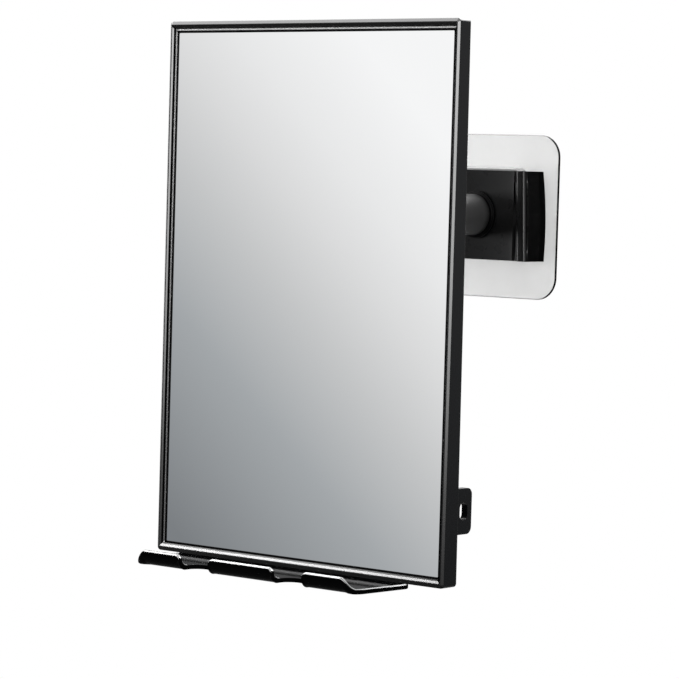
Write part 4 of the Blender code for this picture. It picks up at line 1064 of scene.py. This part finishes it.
class MIRROR_OT_ball_joint(bpy.types.Operator):
    """Build the seats, the housing with its screws, and the locking collar"""

    bl_idname = "mirror.ball_joint"
    bl_label = "Ball Joint"

    def execute(self, context):
        sizes = context.scene.mirror_joint
        at_ball = arm_axis(BALL_OUT)
        inside = context.scene.mirror_arm.ball_radius + GAP
        outside = inside + sizes.seat_thickness
        socket = outside + GAP
        cup = arc(inside, *FRONT_SEAT) + arc(outside, *reversed(FRONT_SEAT))
        front = turned("front_nylon_seat", cup, at_ball, closed=True)
        place_piece(front, "pan_seat", "nylon", "front_seat")
        bore = arc(inside, *REAR_SEAT)
        rim = rounded_path([
            (*bore[-1], 0), (outside, bore[-1][1], FINE_EDGE), (outside, bore[0][1], FINE_EDGE),
            (*bore[0], 0),
        ], closed=False)
        rear = turned("rear_nylon_seat", bore + rim[1:-1], at_ball, closed=True)
        place_piece(rear, "tilt_seat", "nylon", "rear_seat")

        front_face = HOUSING_HIGH[1] - BALL_OUT
        flange, barrel = sizes.flange_radius, sizes.housing_radius
        flange_back = front_face - sizes.flange_thickness
        path = rounded_path([
            (0, front_face, 0), (flange, front_face, SOFT_EDGE),
            (flange, flange_back, sizes.flange_round), (barrel, flange_back, HAIR_EDGE),
            (barrel, -sizes.housing_rim, SOFT_EDGE), (socket, -sizes.housing_rim, FINE_EDGE),
            (socket, 0, 0),
        ], closed=False)
        housing = turned("joint_housing", path + arc(socket, 90.0, 0.0)[1:], at_ball, 128)
        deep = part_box("joint_screw_1")[0][1]
        for index in range(4):
            angle = math.tau * (index + 0.5) / 4
            spot = Vector((sizes.screw_circle * math.cos(angle), deep,
                           ARM_Z + sizes.screw_circle * math.sin(angle)))
            hole = axis_frame(spot, -OUTWARDS)
            cut(housing, rod("flange_hole_tool", SCREW_HOLE, HOLE_REACH, hole, 32))
        finish_mesh(housing)
        place_piece(housing, "mirror", "satin_black", "ball_housing")
        for number in range(1, 5):
            node = f"joint_screw_{number}"
            place_piece(pan_screw(f"flange_screw_{number}", node), "mirror", "steel", node)

        inner, outer = barrel + GAP, sizes.collar_radius
        mouth = bore[-1][0]
        lip_front = bore[-1][1] - GAP
        lip_back = lip_front - sizes.collar_lip
        top = flange_back - 2 * GAP
        shelf = -sizes.housing_rim - GAP
        section = rounded_path([
            (inner, top, FINE_EDGE), (outer, top, sizes.collar_front_round),
            (outer, lip_back, sizes.collar_back_round),
            (mouth + sizes.collar_mouth, lip_back, sizes.mouth_round), (mouth + GAP, lip_front, 0),
            (socket, lip_front, 0), (socket, shelf, 0), (inner, shelf, 0),
        ])
        steepness = 3.0

        def grip(angle, radius):
            if radius < outer - SOFT_EDGE:
                return 1.0
            wave = math.tanh(steepness * math.cos(sizes.grips * angle)) / math.tanh(steepness)
            return 1.0 + (0.5 + 0.5 * wave) * sizes.collar_grip / outer

        collar = turned("grip_collar", section, at_ball, 360, closed=True, swell=grip, sharp=50.0)
        place_piece(collar, "collar", "satin_black", "locking_collar")
        return {"FINISHED"}


def find_back(at_top):
    """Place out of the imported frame's rear edge at its top or bottom."""
    low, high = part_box("front_frame")
    goal = high[2] if at_top else low[2]
    return -max(vert.co.y for vert in frame["nodes"]["front_frame"].data.vertices
                if abs(vert.co.z - goal) < ROUND_EDGE * 2)


BACK_TOP, BACK_BOTTOM = find_back(True), find_back(False)


def casing_back(z):
    """Place of the frame's rear edge at a height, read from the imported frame's taper."""
    part = (CASING_HIGH[2] - z) / (CASING_HIGH[2] - CASING_LOW[2])
    return BACK_TOP + (BACK_BOTTOM - BACK_TOP) * part


def casing_ring(sizes, inset_side, inset_end, depth, from_back=False, drop=0.0):
    """Ring of the frame at insets from its sides, at a depth from its front or rear edge."""
    radius = max(sizes.corner - min(inset_side, inset_end), sizes.least_corner)
    middle = (CASING_LOW[2] + CASING_HIGH[2]) / 2 - drop
    half_height = (CASING_HIGH[2] - CASING_LOW[2]) / 2 - inset_end
    out = (lambda z: casing_back(z) + depth) if from_back else FRONT - depth
    return upright_ring(CASING_HIGH[0] - inset_side, half_height, radius, middle, 10, out)


class MIRROR_OT_frame(bpy.types.Operator):
    """Build the frame with its bead, groove and inner lip"""

    bl_idname = "mirror.frame"
    bl_label = "Frame"

    def execute(self, context):
        sizes = context.scene.mirror_casing
        wide, crest = sizes.bezel_side, sizes.crest
        lip_start = sizes.lip_start
        lip_end = lip_start + sizes.lip_width
        lip_foot = lip_end + sizes.lip_slope
        slope_end = crest + sizes.slope_width
        lip_foot_start = lip_start - sizes.lip_rise
        lip_round = sizes.lip_width * 0.48
        front = rounded_path([
            (0, sizes.glass_recess, 0), (0, sizes.ridge_depth, sizes.ridge_round * 0.5),
            (crest, 0, sizes.ridge_round), (slope_end, sizes.slope_depth, sizes.ridge_round * 0.6),
            (slope_end + sizes.groove_lean, sizes.groove_depth, sizes.foot_round),
            (lip_foot_start, sizes.groove_depth, sizes.foot_round),
            (lip_start, sizes.lip_depth, lip_round), (lip_end, sizes.lip_depth, lip_round),
            (lip_foot, sizes.lip_foot, sizes.foot_round),
            (wide, sizes.step_depth, sizes.foot_round * 0.8), (wide, sizes.glass_recess, 0),
        ], closed=False, step_degrees=8.0)
        rings = []
        for across, depth in front:
            part = across / wide
            ring = casing_ring(sizes, part * wide, part * sizes.bezel_end, depth,
                               drop=part * sizes.opening_drop)
            low_line = min(z for x, y, z in ring) + TINY
            if crest < across < lip_end + TINY:
                broad = FRONT - (across - crest) * sizes.foot_slope
                ring = [(x, -broad if z < low_line else y, z) for x, y, z in ring]
            if crest * 0.5 < across < lip_start:
                ring = [(x, y, z + sizes.foot_shift if z < low_line else z) for x, y, z in ring]
            rings.append(ring)
        side_wall = CASING_HIGH[0] - GLASS_HIGH[0] - GAP
        end_wall = CASING_HIGH[2] - GLASS_HIGH[2] - GAP
        chamfer = sizes.wall_chamfer
        rings.append(casing_ring(sizes, side_wall, end_wall, sizes.glass_recess))
        rings.append(casing_ring(sizes, side_wall, end_wall, chamfer, True))
        rings.append(casing_ring(sizes, side_wall - chamfer, end_wall - chamfer, 0, True))
        rounding = sizes.back_round
        for fall, rise in quarter(6):
            inset = rounding * fall
            rings.append(casing_ring(sizes, inset, inset, rounding * rise, True))
        casing = skin("bezel_frame", rings, closed=True, sharp=40.0)

        def rule(face):
            x, out, z = face.center.x, -face.center.y, face.center.z
            at_side = (CASING_HIGH[0] - abs(x)) / wide
            at_top = (CASING_HIGH[2] - z) / (sizes.bezel_end + sizes.opening_drop)
            at_foot = (z - CASING_LOW[2]) / (sizes.bezel_end - sizes.opening_drop)
            across = min(at_side, at_top, at_foot) * wide
            if out < casing_back(z) + rounding and across < rounding:
                return "deep_black"
            if out < FRONT - sizes.ridge_depth - TINY and across < NEAR:
                return "side_black"
            if face.normal.z < -0.25:
                return "deep_black"
            if at_foot < min(at_side, at_top):
                start = crest + sizes.foot_shift
                # The lower bezel's broad slope gets the painted highlight.
                if start + NEAR < across < slope_end + sizes.foot_shift:
                    return "bead_painted_highlight"
                return "gloss_black" if across < lip_end else "under_black"
            if lip_foot_start < across < lip_foot:
                # The lip's top run gets the painted highlight; the right run a duller black, the
                # left run a glossier one.
                if at_top < at_side:
                    return "lip_painted_highlight"
                return "under_black" if x > 0 else "edge_gloss"
            if across > slope_end - NEAR / 2:
                return "under_black"
            if at_side < at_top and across > crest + NEAR / 2 and x > 0:
                return "under_black"

        paint(casing, ("gloss_black", "side_black", "deep_black", "edge_gloss", "under_black",
                       "lip_painted_highlight", "bead_painted_highlight"), rule)
        place_piece(casing, "mirror", "gloss_black", "front_frame")
        return {"FINISHED"}


class MIRROR_OT_glass(bpy.types.Operator):
    """Build the mirror glass and dress the foam behind it"""

    bl_idname = "mirror.glass"
    bl_label = "Mirror Glass"

    def execute(self, context):
        sizes = context.scene.mirror_casing
        rear, front = edge_section(GLASS_LOW[1], FRONT - sizes.glass_recess, sizes.glass_round, 3)
        rings = [upright_ring(GLASS_HIGH[0] - inset, GLASS_HALF - inset, sizes.glass_corner,
                              GLASS_MIDDLE, 4, out) for inset, out in rear + front]
        glass = skin("silvered_glass", rings, sharp=5.0)
        paint(glass, ("mirror", "glass_edge"),
              lambda face: "glass_edge" if face.normal.y > -0.9 else "mirror")
        place_piece(glass, "mirror", "mirror", "mirror_glass")
        dress_node("glass_backing", "foam")
        return {"FINISHED"}


class MIRROR_OT_back_cover(bpy.types.Operator):
    """Build the rear panel with its raised pad for the joint"""

    bl_idname = "mirror.back_cover"
    bl_label = "Back Cover"

    def execute(self, context):
        sizes = context.scene.mirror_casing
        front = COVER_HIGH[1]

        def ring(inset, out):
            return upright_ring(GLASS_HIGH[0] - inset, GLASS_HALF - inset, sizes.glass_corner,
                                GLASS_MIDDLE, 5, out)

        def rear_ring(inset, depth):
            return ring(inset, lambda z: casing_back(z) + sizes.cover_sink + depth)

        rings = [ring(0, front)]
        rounding, start = sizes.cover_round, sizes.line_inset
        rings += [rear_ring(rounding * rise, rounding * fall) for fall, rise in quarter(4)]
        for part, sink in ((0, 0), (0.2, 1), (0.8, 1), (1, 0)):
            rings.append(rear_ring(start + part * sizes.line_width, sink * sizes.line_depth))
        cover = skin("rear_panel", rings, sharp=28.0)
        radius = context.scene.mirror_joint.flange_radius + sizes.pad_margin
        pad_back = HOUSING_HIGH[1] + GAP
        profile = rounded_path([(0, pad_back, 0), (radius, pad_back, sizes.pad_round),
                                (radius, front - GAP, 0), (0, front - GAP, 0)], closed=False)
        fuse(cover, turned("joint_pad_tool", profile, arm_axis()))
        for node in [f"joint_screw_{number}" for number in range(1, 5)] + ["loop_screw"]:
            cut(cover, rod("cover_hole_tool", SCREW_HOLE, HOLE_REACH, screw_end(node, 1, GAP), 24))
        finish_mesh(cover, 28.0)
        place_piece(cover, "mirror", "side_black", "back_cover")
        return {"FINISHED"}


def lip_share(degrees, start=2.0, end=55.0):
    """How much of the lip's height is left part of the way round the front corner."""
    part = min(max((degrees - start) / (end - start), 0.0), 1.0)
    return 1.0 - part * part * (3.0 - 2.0 * part)


def between(start, end, part):
    """Value part of the way from one to another."""
    return start + (end - start) * part


def tray_underside(sizes):
    return CASING_LOW[2] - GAP - sizes.tab_overlap


def tray_stations(sizes):
    """Right half of the tray's edge: place, inward direction, height, bend and wall."""
    stations = []
    front = TINY * 10 - TRAY_HIGH[1]
    lip = TRAY_HIGH[2] - tray_underside(sizes)
    rim = sizes.plate + sizes.rim_rise

    def add(place, inward, height, bend, wall):
        stations.append((place, inward, height, min(bend, height * 0.9), wall))

    def add_corner(centre, radius, first, steps, rule):
        for step in range(steps + 1):
            angle = math.radians(first + 90.0 * step / steps)
            across, along = math.cos(angle), math.sin(angle)
            add((centre[0] + radius * across, centre[1] + radius * along), (-across, -along),
                *rule(step / steps))

    def front_rule(part):
        left = lip_share(90.0 * part)
        return (between(rim, lip, left), between(sizes.rim_bend, sizes.lip_bend, left),
                between(sizes.rim_wall, sizes.lip_wall, left))

    def rear_rule(part):
        return (sizes.plate + sizes.rim_rise * (1 - part),
                between(sizes.rim_bend, sizes.rear_edge, part),
                between(sizes.rim_wall, sizes.rear_wall, part))

    add((0, front), (0, 1), lip, sizes.lip_bend, sizes.lip_wall)
    turns = [math.radians(degrees) for degrees in (0, 15, 30, 45, 60, 72, 85)]
    for side, order in ((-1, turns), (1, turns[::-1])):
        for turn in order:
            past = sizes.notch_width / 2 + sizes.notch_shoulder * (1 - math.sin(turn))
            add((sizes.notch_offset + side * past, front), (0, 1),
                lip - sizes.notch_shoulder * (1 - math.cos(turn)), sizes.lip_bend, sizes.lip_wall)
    radius = sizes.front_corner
    add_corner((sizes.front_width / 2 - radius, front + radius), radius, -90.0, 40, front_rule)
    radius = sizes.rear_corner
    add_corner((sizes.rear_width / 2 - radius, -(FRONT + sizes.rear_gap) - radius), radius,
               0.0, 12, rear_rule)
    return stations


def tray_rings(sizes, stations, underside):
    """Rings from the underside, up the outside, over the round top and down to the floor."""
    edge = SOFT_EDGE

    def ring(rule):
        points = []
        for (x, y), (inward_x, inward_y), *shape in stations:
            inset, height = rule(*shape)
            points.append((x + inward_x * inset, y + inward_y * inset, underside + height))
        return points

    def crown_of(height, bend, wall):
        return min(wall / 2, (height - bend) * 0.98)

    rings = [ring(lambda height, bend, wall: (bend + edge, 0))]
    for fall, rise in quarter(10):
        rings.append(ring(lambda height, bend, wall: (bend * fall, bend * rise)))
    for step in range(9):
        turn = math.radians(180.0 * step / 8)

        def over_top(height, bend, wall):
            crown = crown_of(height, bend, wall)
            if math.cos(turn) <= 0:
                crown = min(crown, max(height - sizes.plate, 0))
            return wall / 2 * (1 - math.cos(turn)), height - crown * (1 - math.sin(turn))

        rings.append(ring(over_top))
    for fall, rise in quarter(10):

        def down_inside(height, bend, wall):
            drop = height - sizes.plate
            start = max(drop - min(crown_of(height, bend, wall), max(drop, 0)), 0)
            return wall + drop * rise + edge * (1 - fall), sizes.plate + start * fall

        rings.append(ring(down_inside))
    return rings


def flat_screw(name, node):
    """A sunk screw seen from below, with a cross recess, in a packed screw's place."""
    head, height, shank = SUNK_HEAD
    low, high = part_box(node)
    place = screw_end(node, 2)
    profile = thread(high[2] - low[2], shank, 0.4, SUNK_PITCH, height + shank)
    profile += [(shank * 0.85, -height), (head, -HAIR_EDGE * 0.75), (head, 0), (0, 0)]
    screw = turned(name, profile, place, 40)
    cut(screw, *cross_recess(place, head * 0.5, height * 0.8))
    return finish_mesh(screw, 28.0)


class MIRROR_OT_tray(bpy.types.Operator):
    """Build the razor tray with its notches, tabs and screws"""

    bl_idname = "mirror.tray"
    bl_label = "Razor Tray"

    def execute(self, context):
        sizes = context.scene.mirror_tray
        tab_top = CASING_LOW[2] - GAP
        underside = tray_underside(sizes)
        right = tray_stations(sizes)
        left = [((-place[0], place[1]), (-inward[0], inward[1]), *shape)
                for place, inward, *shape in reversed(right[1:])]
        tray = skin("razor_tray_fine", tray_rings(sizes, right + left, underside), sharp=40.0)
        outline = rounded_outline(sizes.notch_width / 2, sizes.notch_depth, sizes.notch_end, 16)
        for x in (-sizes.notch_offset, sizes.notch_offset):
            rings = [[(x + across, along - TRAY_HIGH[1], z) for across, along in outline]
                     for z in (underside - OVERRUN, TRAY_HIGH[2] + OVERRUN)]
            cut(tray, skin("notch_tool", rings))
        soften(tray, sizes.edge_round, 50.0)
        for centre in (-sizes.tab_offset, sizes.tab_offset):
            tab = block("tab_tool",
                        (centre - sizes.tab_width / 2, TRAY_LOW[1], tab_top - sizes.tab_thickness),
                        (centre + sizes.tab_width / 2, FRONT + sizes.tab_reach, tab_top))
            soften(tab, SOFT_EDGE)
            fuse(tray, tab)
        head_hole = SUNK_HEAD[0] + ROUND_EDGE
        sunk = [(0, SUNK_HOLE_TOP), (SCREW_HOLE, SUNK_HOLE_TOP), (SCREW_HOLE, SUNK_HOLE_NECK),
                (head_hole, FINE_EDGE), (head_hole, OVERRUN), (0, OVERRUN)]
        for number in (1, 2):
            node = f"tray_screw_{number}"
            cut(tray, turned("sunk_hole_tool", sunk, screw_end(node, 2), 48))
            place_piece(flat_screw(f"tray_sunk_screw_{number}", node), "mirror", "steel", node)
        finish_mesh(tray, 40.0)
        floor = underside + sizes.plate + NEAR

        def rule(face):
            upward = face.normal.z
            on_floor = upward > 0.97 and face.center.z < floor
            if upward > 0.25 and not on_floor and -face.center.y > FRONT + 2 * OVERRUN:
                on_lip = face.center.x < sizes.front_width / 2 - sizes.front_corner
                # The lip's top faces get the painted highlight; other upward edge faces get a
                # glossier black.
                return "bead_painted_highlight" if upward > 0.35 and on_lip else "edge_gloss"
            if upward < 0.1:
                return "under_black"

        paint(tray, ("tray_black", "edge_gloss", "under_black", "bead_painted_highlight"), rule)
        place_piece(tray, "mirror", "tray_black", "razor_tray")
        tray.visible_glossy = False
        return {"FINISHED"}


class MIRROR_OT_side_loop(bpy.types.Operator):
    """Build the loop behind the right edge, and its screw"""

    bl_idname = "mirror.side_loop"
    bl_label = "Side Loop"

    def execute(self, context):
        sizes = context.scene.mirror_loop
        outer_x = LOOP_HIGH[0]
        inner_x = outer_x - sizes.thickness
        low_z, high_z = LOOP_LOW[2], LOOP_HIGH[2]
        base, tip = LOOP_HIGH[1], LOOP_LOW[1]
        outline = rounded_path([(base, low_z, 0), (tip, low_z, sizes.corner),
                                (tip, high_z, sizes.corner), (base, high_z, 0)])
        sides = (inner_x, outer_x)
        loop = skin("edge_loop", [[(x, -out, z) for out, z in outline] for x in sides])
        fuse(loop, block("foot_tool", (LOOP_LOW[0], base - sizes.foot_thickness, low_z),
                         (inner_x + sizes.thickness / 2, base, high_z)))
        middle = (low_z + high_z) / 2
        hole_out = base - sizes.hole_setback - sizes.hole_width / 2
        corner = sizes.hole_width * 0.45
        hole = rounded_outline(sizes.hole_width / 2, sizes.hole_height / 2, corner)
        cut(loop, skin("loop_hole_tool", [[(x, along - hole_out, middle + up) for along, up in hole]
                                          for x in (inner_x - OVERRUN, outer_x + OVERRUN)]))
        soften(loop, sizes.edge_round, 50.0)
        cut(loop, rod("foot_hole_tool", SCREW_HOLE, HOLE_REACH, screw_end("loop_screw", 1), 32))
        finish_mesh(loop, 40.0)
        place_piece(loop, "mirror", "side_black", "side_loop")
        screw = pan_screw("loop_pan_screw", "loop_screw")
        place_piece(screw, "mirror", "steel", "loop_screw")
        return {"FINISHED"}


def glowing_card(name, place, width, height, material):
    """A card that only reflections see, lying in the level plane of its place."""
    bm = bmesh.new()
    corners = ((-1, -1), (1, -1), (1, 1), (-1, 1))
    bm.faces.new([bm.verts.new((x * width / 2, y * height / 2, 0)) for x, y in corners])
    card = mesh_piece(name, bm, material)
    card.matrix_world = place
    card.visible_camera = False
    card.visible_diffuse = False
    card.visible_shadow = False
    card.visible_transmission = False
    return card


def glow_material(name, strength):
    """A material that glows; returned with its node tree and its glow."""
    material, shader = new_material(name)
    tree = material.node_tree
    tree.nodes.remove(shader)
    glow = add_node(tree, "Emission", Strength=strength)
    tree.links.new(glow.outputs["Emission"], tree.nodes["Material Output"].inputs["Surface"])
    return material, tree, glow


def graded_card_material(name, direction, start, stops, strength=1.0):
    """Glow that follows a ramp along a direction in the card's own plane."""
    material, tree, glow = glow_material(name, strength)
    link = tree.links.new
    place = add_node(tree, "TexCoord")
    along = add_math(tree, "VectorMath", "DOT_PRODUCT")
    along.inputs[1].default_value = direction
    begin = add_math(tree, "Math", "ADD")
    begin.inputs[1].default_value = start
    ramp = add_node(tree, "ValToRGB")
    elements = ramp.color_ramp.elements
    while len(elements) < len(stops):
        elements.new(0.5)
    for element, (position, tone) in zip(elements, stops):
        element.position = position
        element.color = (*tone, 1.0)
    link(place.outputs["Object"], along.inputs[0])
    link(along.outputs["Value"], begin.inputs[0])
    link(begin.outputs["Value"], ramp.inputs["Fac"])
    link(ramp.outputs["Color"], glow.inputs["Color"])
    return material


def add_lamp(name, place, target, width, height, power):
    data = bpy.data.lights.new(name, "AREA")
    data.shape = "RECTANGLE"
    data.size = width
    data.size_y = height
    data.energy = power
    lamp = bpy.data.objects.new(name, data)
    bpy.context.scene.collection.objects.link(lamp)
    lamp.location = place
    ahead = Vector(target) - Vector(place)
    lamp.rotation_euler = ahead.to_track_quat("-Z", "Y").to_euler()


def add_world(scene):
    """Pale surroundings that are brighter to the camera and in reflections than as light."""
    world = bpy.data.worlds.new("pale_studio")
    world.use_nodes = True
    scene.world = world
    tree = world.node_tree
    link = tree.links.new
    dim = tree.nodes["Background"]
    dim.inputs["Color"].default_value = (1.0, 1.0, 1.0, 1.0)
    dim.inputs["Strength"].default_value = 0.4
    bright = add_node(tree, "Background", Color=(1.0, 1.0, 1.0, 1.0), Strength=1.0)
    rays = add_node(tree, "LightPath")
    seen = rays.outputs["Is Camera Ray"]
    for kind in ("Is Glossy Ray", "Is Transmission Ray"):
        either = add_math(tree, "Math", "MAXIMUM")
        link(seen, either.inputs[0])
        link(rays.outputs[kind], either.inputs[1])
        seen = either.outputs["Value"]
    mix = add_node(tree, "MixShader")
    link(seen, mix.inputs["Fac"])
    link(dim.outputs["Background"], mix.inputs[1])
    link(bright.outputs["Background"], mix.inputs[2])
    link(mix.outputs["Shader"], tree.nodes["World Output"].inputs["Surface"])


def add_floor(radius, height):
    """A round floor that fades out towards its edge."""
    material, shader = new_material("pale_floor")
    tree = material.node_tree
    link = tree.links.new
    skin_marks(material, (0.93, 0.93, 0.93), (0.995, 1.005, 3.0, 2.0), 1.0, None, None)
    shader.inputs["Roughness"].default_value = 0.8
    place = add_node(tree, "TexCoord")
    far = add_math(tree, "VectorMath", "LENGTH")
    fade = add_node(tree, "MapRange", From_Min=radius * 0.35, From_Max=radius * 0.95,
                    To_Min=1.0, To_Max=0.0)
    fade.interpolation_type = "SMOOTHSTEP"
    link(place.outputs["Object"], far.inputs[0])
    link(far.outputs["Value"], fade.inputs["Value"])
    link(fade.outputs["Result"], shader.inputs["Alpha"])
    bm = bmesh.new()
    bmesh.ops.create_circle(bm, cap_ends=True, segments=96, radius=radius)
    floor = mesh_piece("pale_floor", bm, material)
    floor.location = (0, 0, height)


def add_camera(scene, settings):
    """The camera; returns its place and its directions to the right, up and ahead."""
    azimuth, elevation, roll = settings.azimuth, settings.elevation, settings.roll
    ahead = Vector((-math.sin(azimuth) * math.cos(elevation),
                    math.cos(azimuth) * math.cos(elevation), -math.sin(elevation)))
    across = Vector((math.cos(azimuth), math.sin(azimuth), 0))
    up = across.cross(ahead)
    right = across * math.cos(roll) + up * math.sin(roll)
    top = up * math.cos(roll) - across * math.sin(roll)
    place = Vector(settings.camera_place)
    data = bpy.data.cameras.new("photograph_view")
    data.sensor_width = 36.0
    data.lens = settings.focal_length
    data.clip_start = 0.05
    camera = bpy.data.objects.new("photograph_view", data)
    scene.collection.objects.link(camera)
    turn = Matrix((right, top, -ahead)).transposed().to_4x4()
    camera.matrix_world = Matrix.Translation(place) @ turn
    scene.camera = camera
    return place, right, top, ahead


# Ramps as (position, red, green, blue) or (position, tone).
GRADED_STOPS = ((0.02, 0.220, 0.234, 0.247), (0.28, 0.405, 0.425, 0.44),
                (0.45, 0.610, 0.617, 0.620), (0.58, 0.775), (0.69, 0.89), (0.86, 1.01))
# Name, direction seen from the origin, width, height and glow of the plain cards.
PLAIN_CARDS = (
    ("upper_left_card", (-0.64, -0.25, 0.70), 1.2, 1.1, 12.0),
    ("front_top_card", (0.12, -0.68, 0.66), 1.6, 0.9, 8.0),
    ("upper_back_card", (0.0, 0.66, 0.75), 1.5, 1.1, 10.0),
)
PLAIN_CARD_DISTANCE = 1.4
# Name, place, width, height, glow and ramp of the upright cards.
UPRIGHT_CARDS = (
    ("right_back_card", (0.72, 0.63, -0.20), 0.8, 1.4, 1.0,
     ((0.20, 0.10), (0.38, 0.30), (0.54, 0.70), (0.72, 1.0))),
    ("right_card", (0.926, -1.278, 0.05), 0.5, 1.6, 28.0,
     ((0.02, 0.02), (0.10, 0.05), (0.19, 0.13), (0.353, 0.60), (0.607, 1.0))),
    ("left_card", (-0.97, 0.33, -0.1), 0.8, 1.4, 1.3,
     ((0.20, 0.12), (0.386, 0.40), (0.522, 0.80), (0.66, 1.0))),
)
# Name, place, target, width, height and power of the lamps.
LAMPS = (
    ("key_softbox", (-0.5, -1.5, 1.5), (0, -0.1, 0), 0.9, 0.9, 9.0),
    ("fill_softbox", (1.7, -0.7, 0.5), (0, -0.1, 0), 0.5, 1.2, 8.0),
    ("top_softbox", (0.1, 0.1, 1.6), (0, -0.1, 0), 1.0, 0.7, 6.0),
    ("left_softbox", (-1.4, -0.72, 0.0), (0, -0.03, 0), 0.35, 0.45, 15.0),
)


def ramp_stops(stops):
    return [(position, tone if len(tone) == 3 else tone * 3) for position, *tone in stops]


class MIRROR_OT_stage(bpy.types.Operator):
    """Build the floor, lamps, backdrop light and camera"""

    bl_idname = "mirror.stage"
    bl_label = "Stage"

    def execute(self, context):
        scene = context.scene
        settings = scene.mirror_stage
        scene.view_settings.view_transform = "Standard"
        add_world(scene)
        add_floor(settings.floor_radius, settings.floor_height)
        twin, right, top, ahead = add_camera(scene, settings)

        twin.y = -2 * (FRONT - scene.mirror_casing.glass_recess) - twin.y
        flip = Matrix.Diagonal((1, -1, 1))
        axes = Matrix((flip @ right, flip @ top, flip @ ahead)).transposed().to_4x4()
        place = Matrix.Translation(twin + flip @ ahead * settings.card_distance) @ axes
        material = graded_card_material("graded_card", (1.72, 1.38, 0.0), 0.48,
                                        ramp_stops(GRADED_STOPS))
        glowing_card("graded_card", place, 1.3, 1.3, material)
        for name, direction, width, height, strength in PLAIN_CARDS:
            toward = Vector(direction).normalized()
            glowing_card(name, axis_frame(toward * PLAIN_CARD_DISTANCE, -toward), width, height,
                         glow_material(name, strength)[0])
        for name, spot, width, height, strength, stops in UPRIGHT_CARDS:
            material = graded_card_material(name, (0.0, 1.0, 0.0), 0.5, ramp_stops(stops), strength)
            facing = axis_frame(Vector(spot), Vector((-spot[0], -spot[1], 0)))
            glowing_card(name, facing, width, height, material)
        for lamp in LAMPS:
            add_lamp(*lamp)
        return {"FINISHED"}


class MIRROR_PT_panel(bpy.types.Panel):
    """Lists the pieces of the shaving mirror"""

    bl_idname = "MIRROR_PT_panel"
    bl_label = "Shaving Mirror"
    bl_space_type = "VIEW_3D"
    bl_region_type = "UI"
    bl_category = "Shaving Mirror"

    def draw(self, context):
        for operator in OPERATORS:
            self.layout.operator(operator.bl_idname)
        for name in SETTINGS:
            group = getattr(context.scene, name)
            column = self.layout.column(align=True)
            column.label(text=name.replace("_", " ").capitalize())
            for key in group.bl_rna.properties.keys():
                if key not in ("rna_type", "name"):
                    column.prop(group, key)


OPERATORS = (
    MIRROR_OT_finishes, MIRROR_OT_wall_pad, MIRROR_OT_bracket, MIRROR_OT_arm, MIRROR_OT_ball_joint,
    MIRROR_OT_frame, MIRROR_OT_glass, MIRROR_OT_back_cover, MIRROR_OT_tray, MIRROR_OT_side_loop,
    MIRROR_OT_stage,
)


def register():
    for name, group in SETTINGS.items():
        bpy.utils.register_class(group)
        setattr(bpy.types.Scene, name, PointerProperty(type=group))
    for operator in OPERATORS:
        bpy.utils.register_class(operator)
    bpy.utils.register_class(MIRROR_PT_panel)


def unregister():
    bpy.utils.unregister_class(MIRROR_PT_panel)
    for operator in reversed(OPERATORS):
        bpy.utils.unregister_class(operator)
    for name, group in reversed(SETTINGS.items()):
        delattr(bpy.types.Scene, name)
        bpy.utils.unregister_class(group)


def main():
    register()
    for operator in OPERATORS:
        family, verb = operator.bl_idname.split(".")
        getattr(getattr(bpy.ops, family), verb)()


if __name__ == "__main__":
    main()
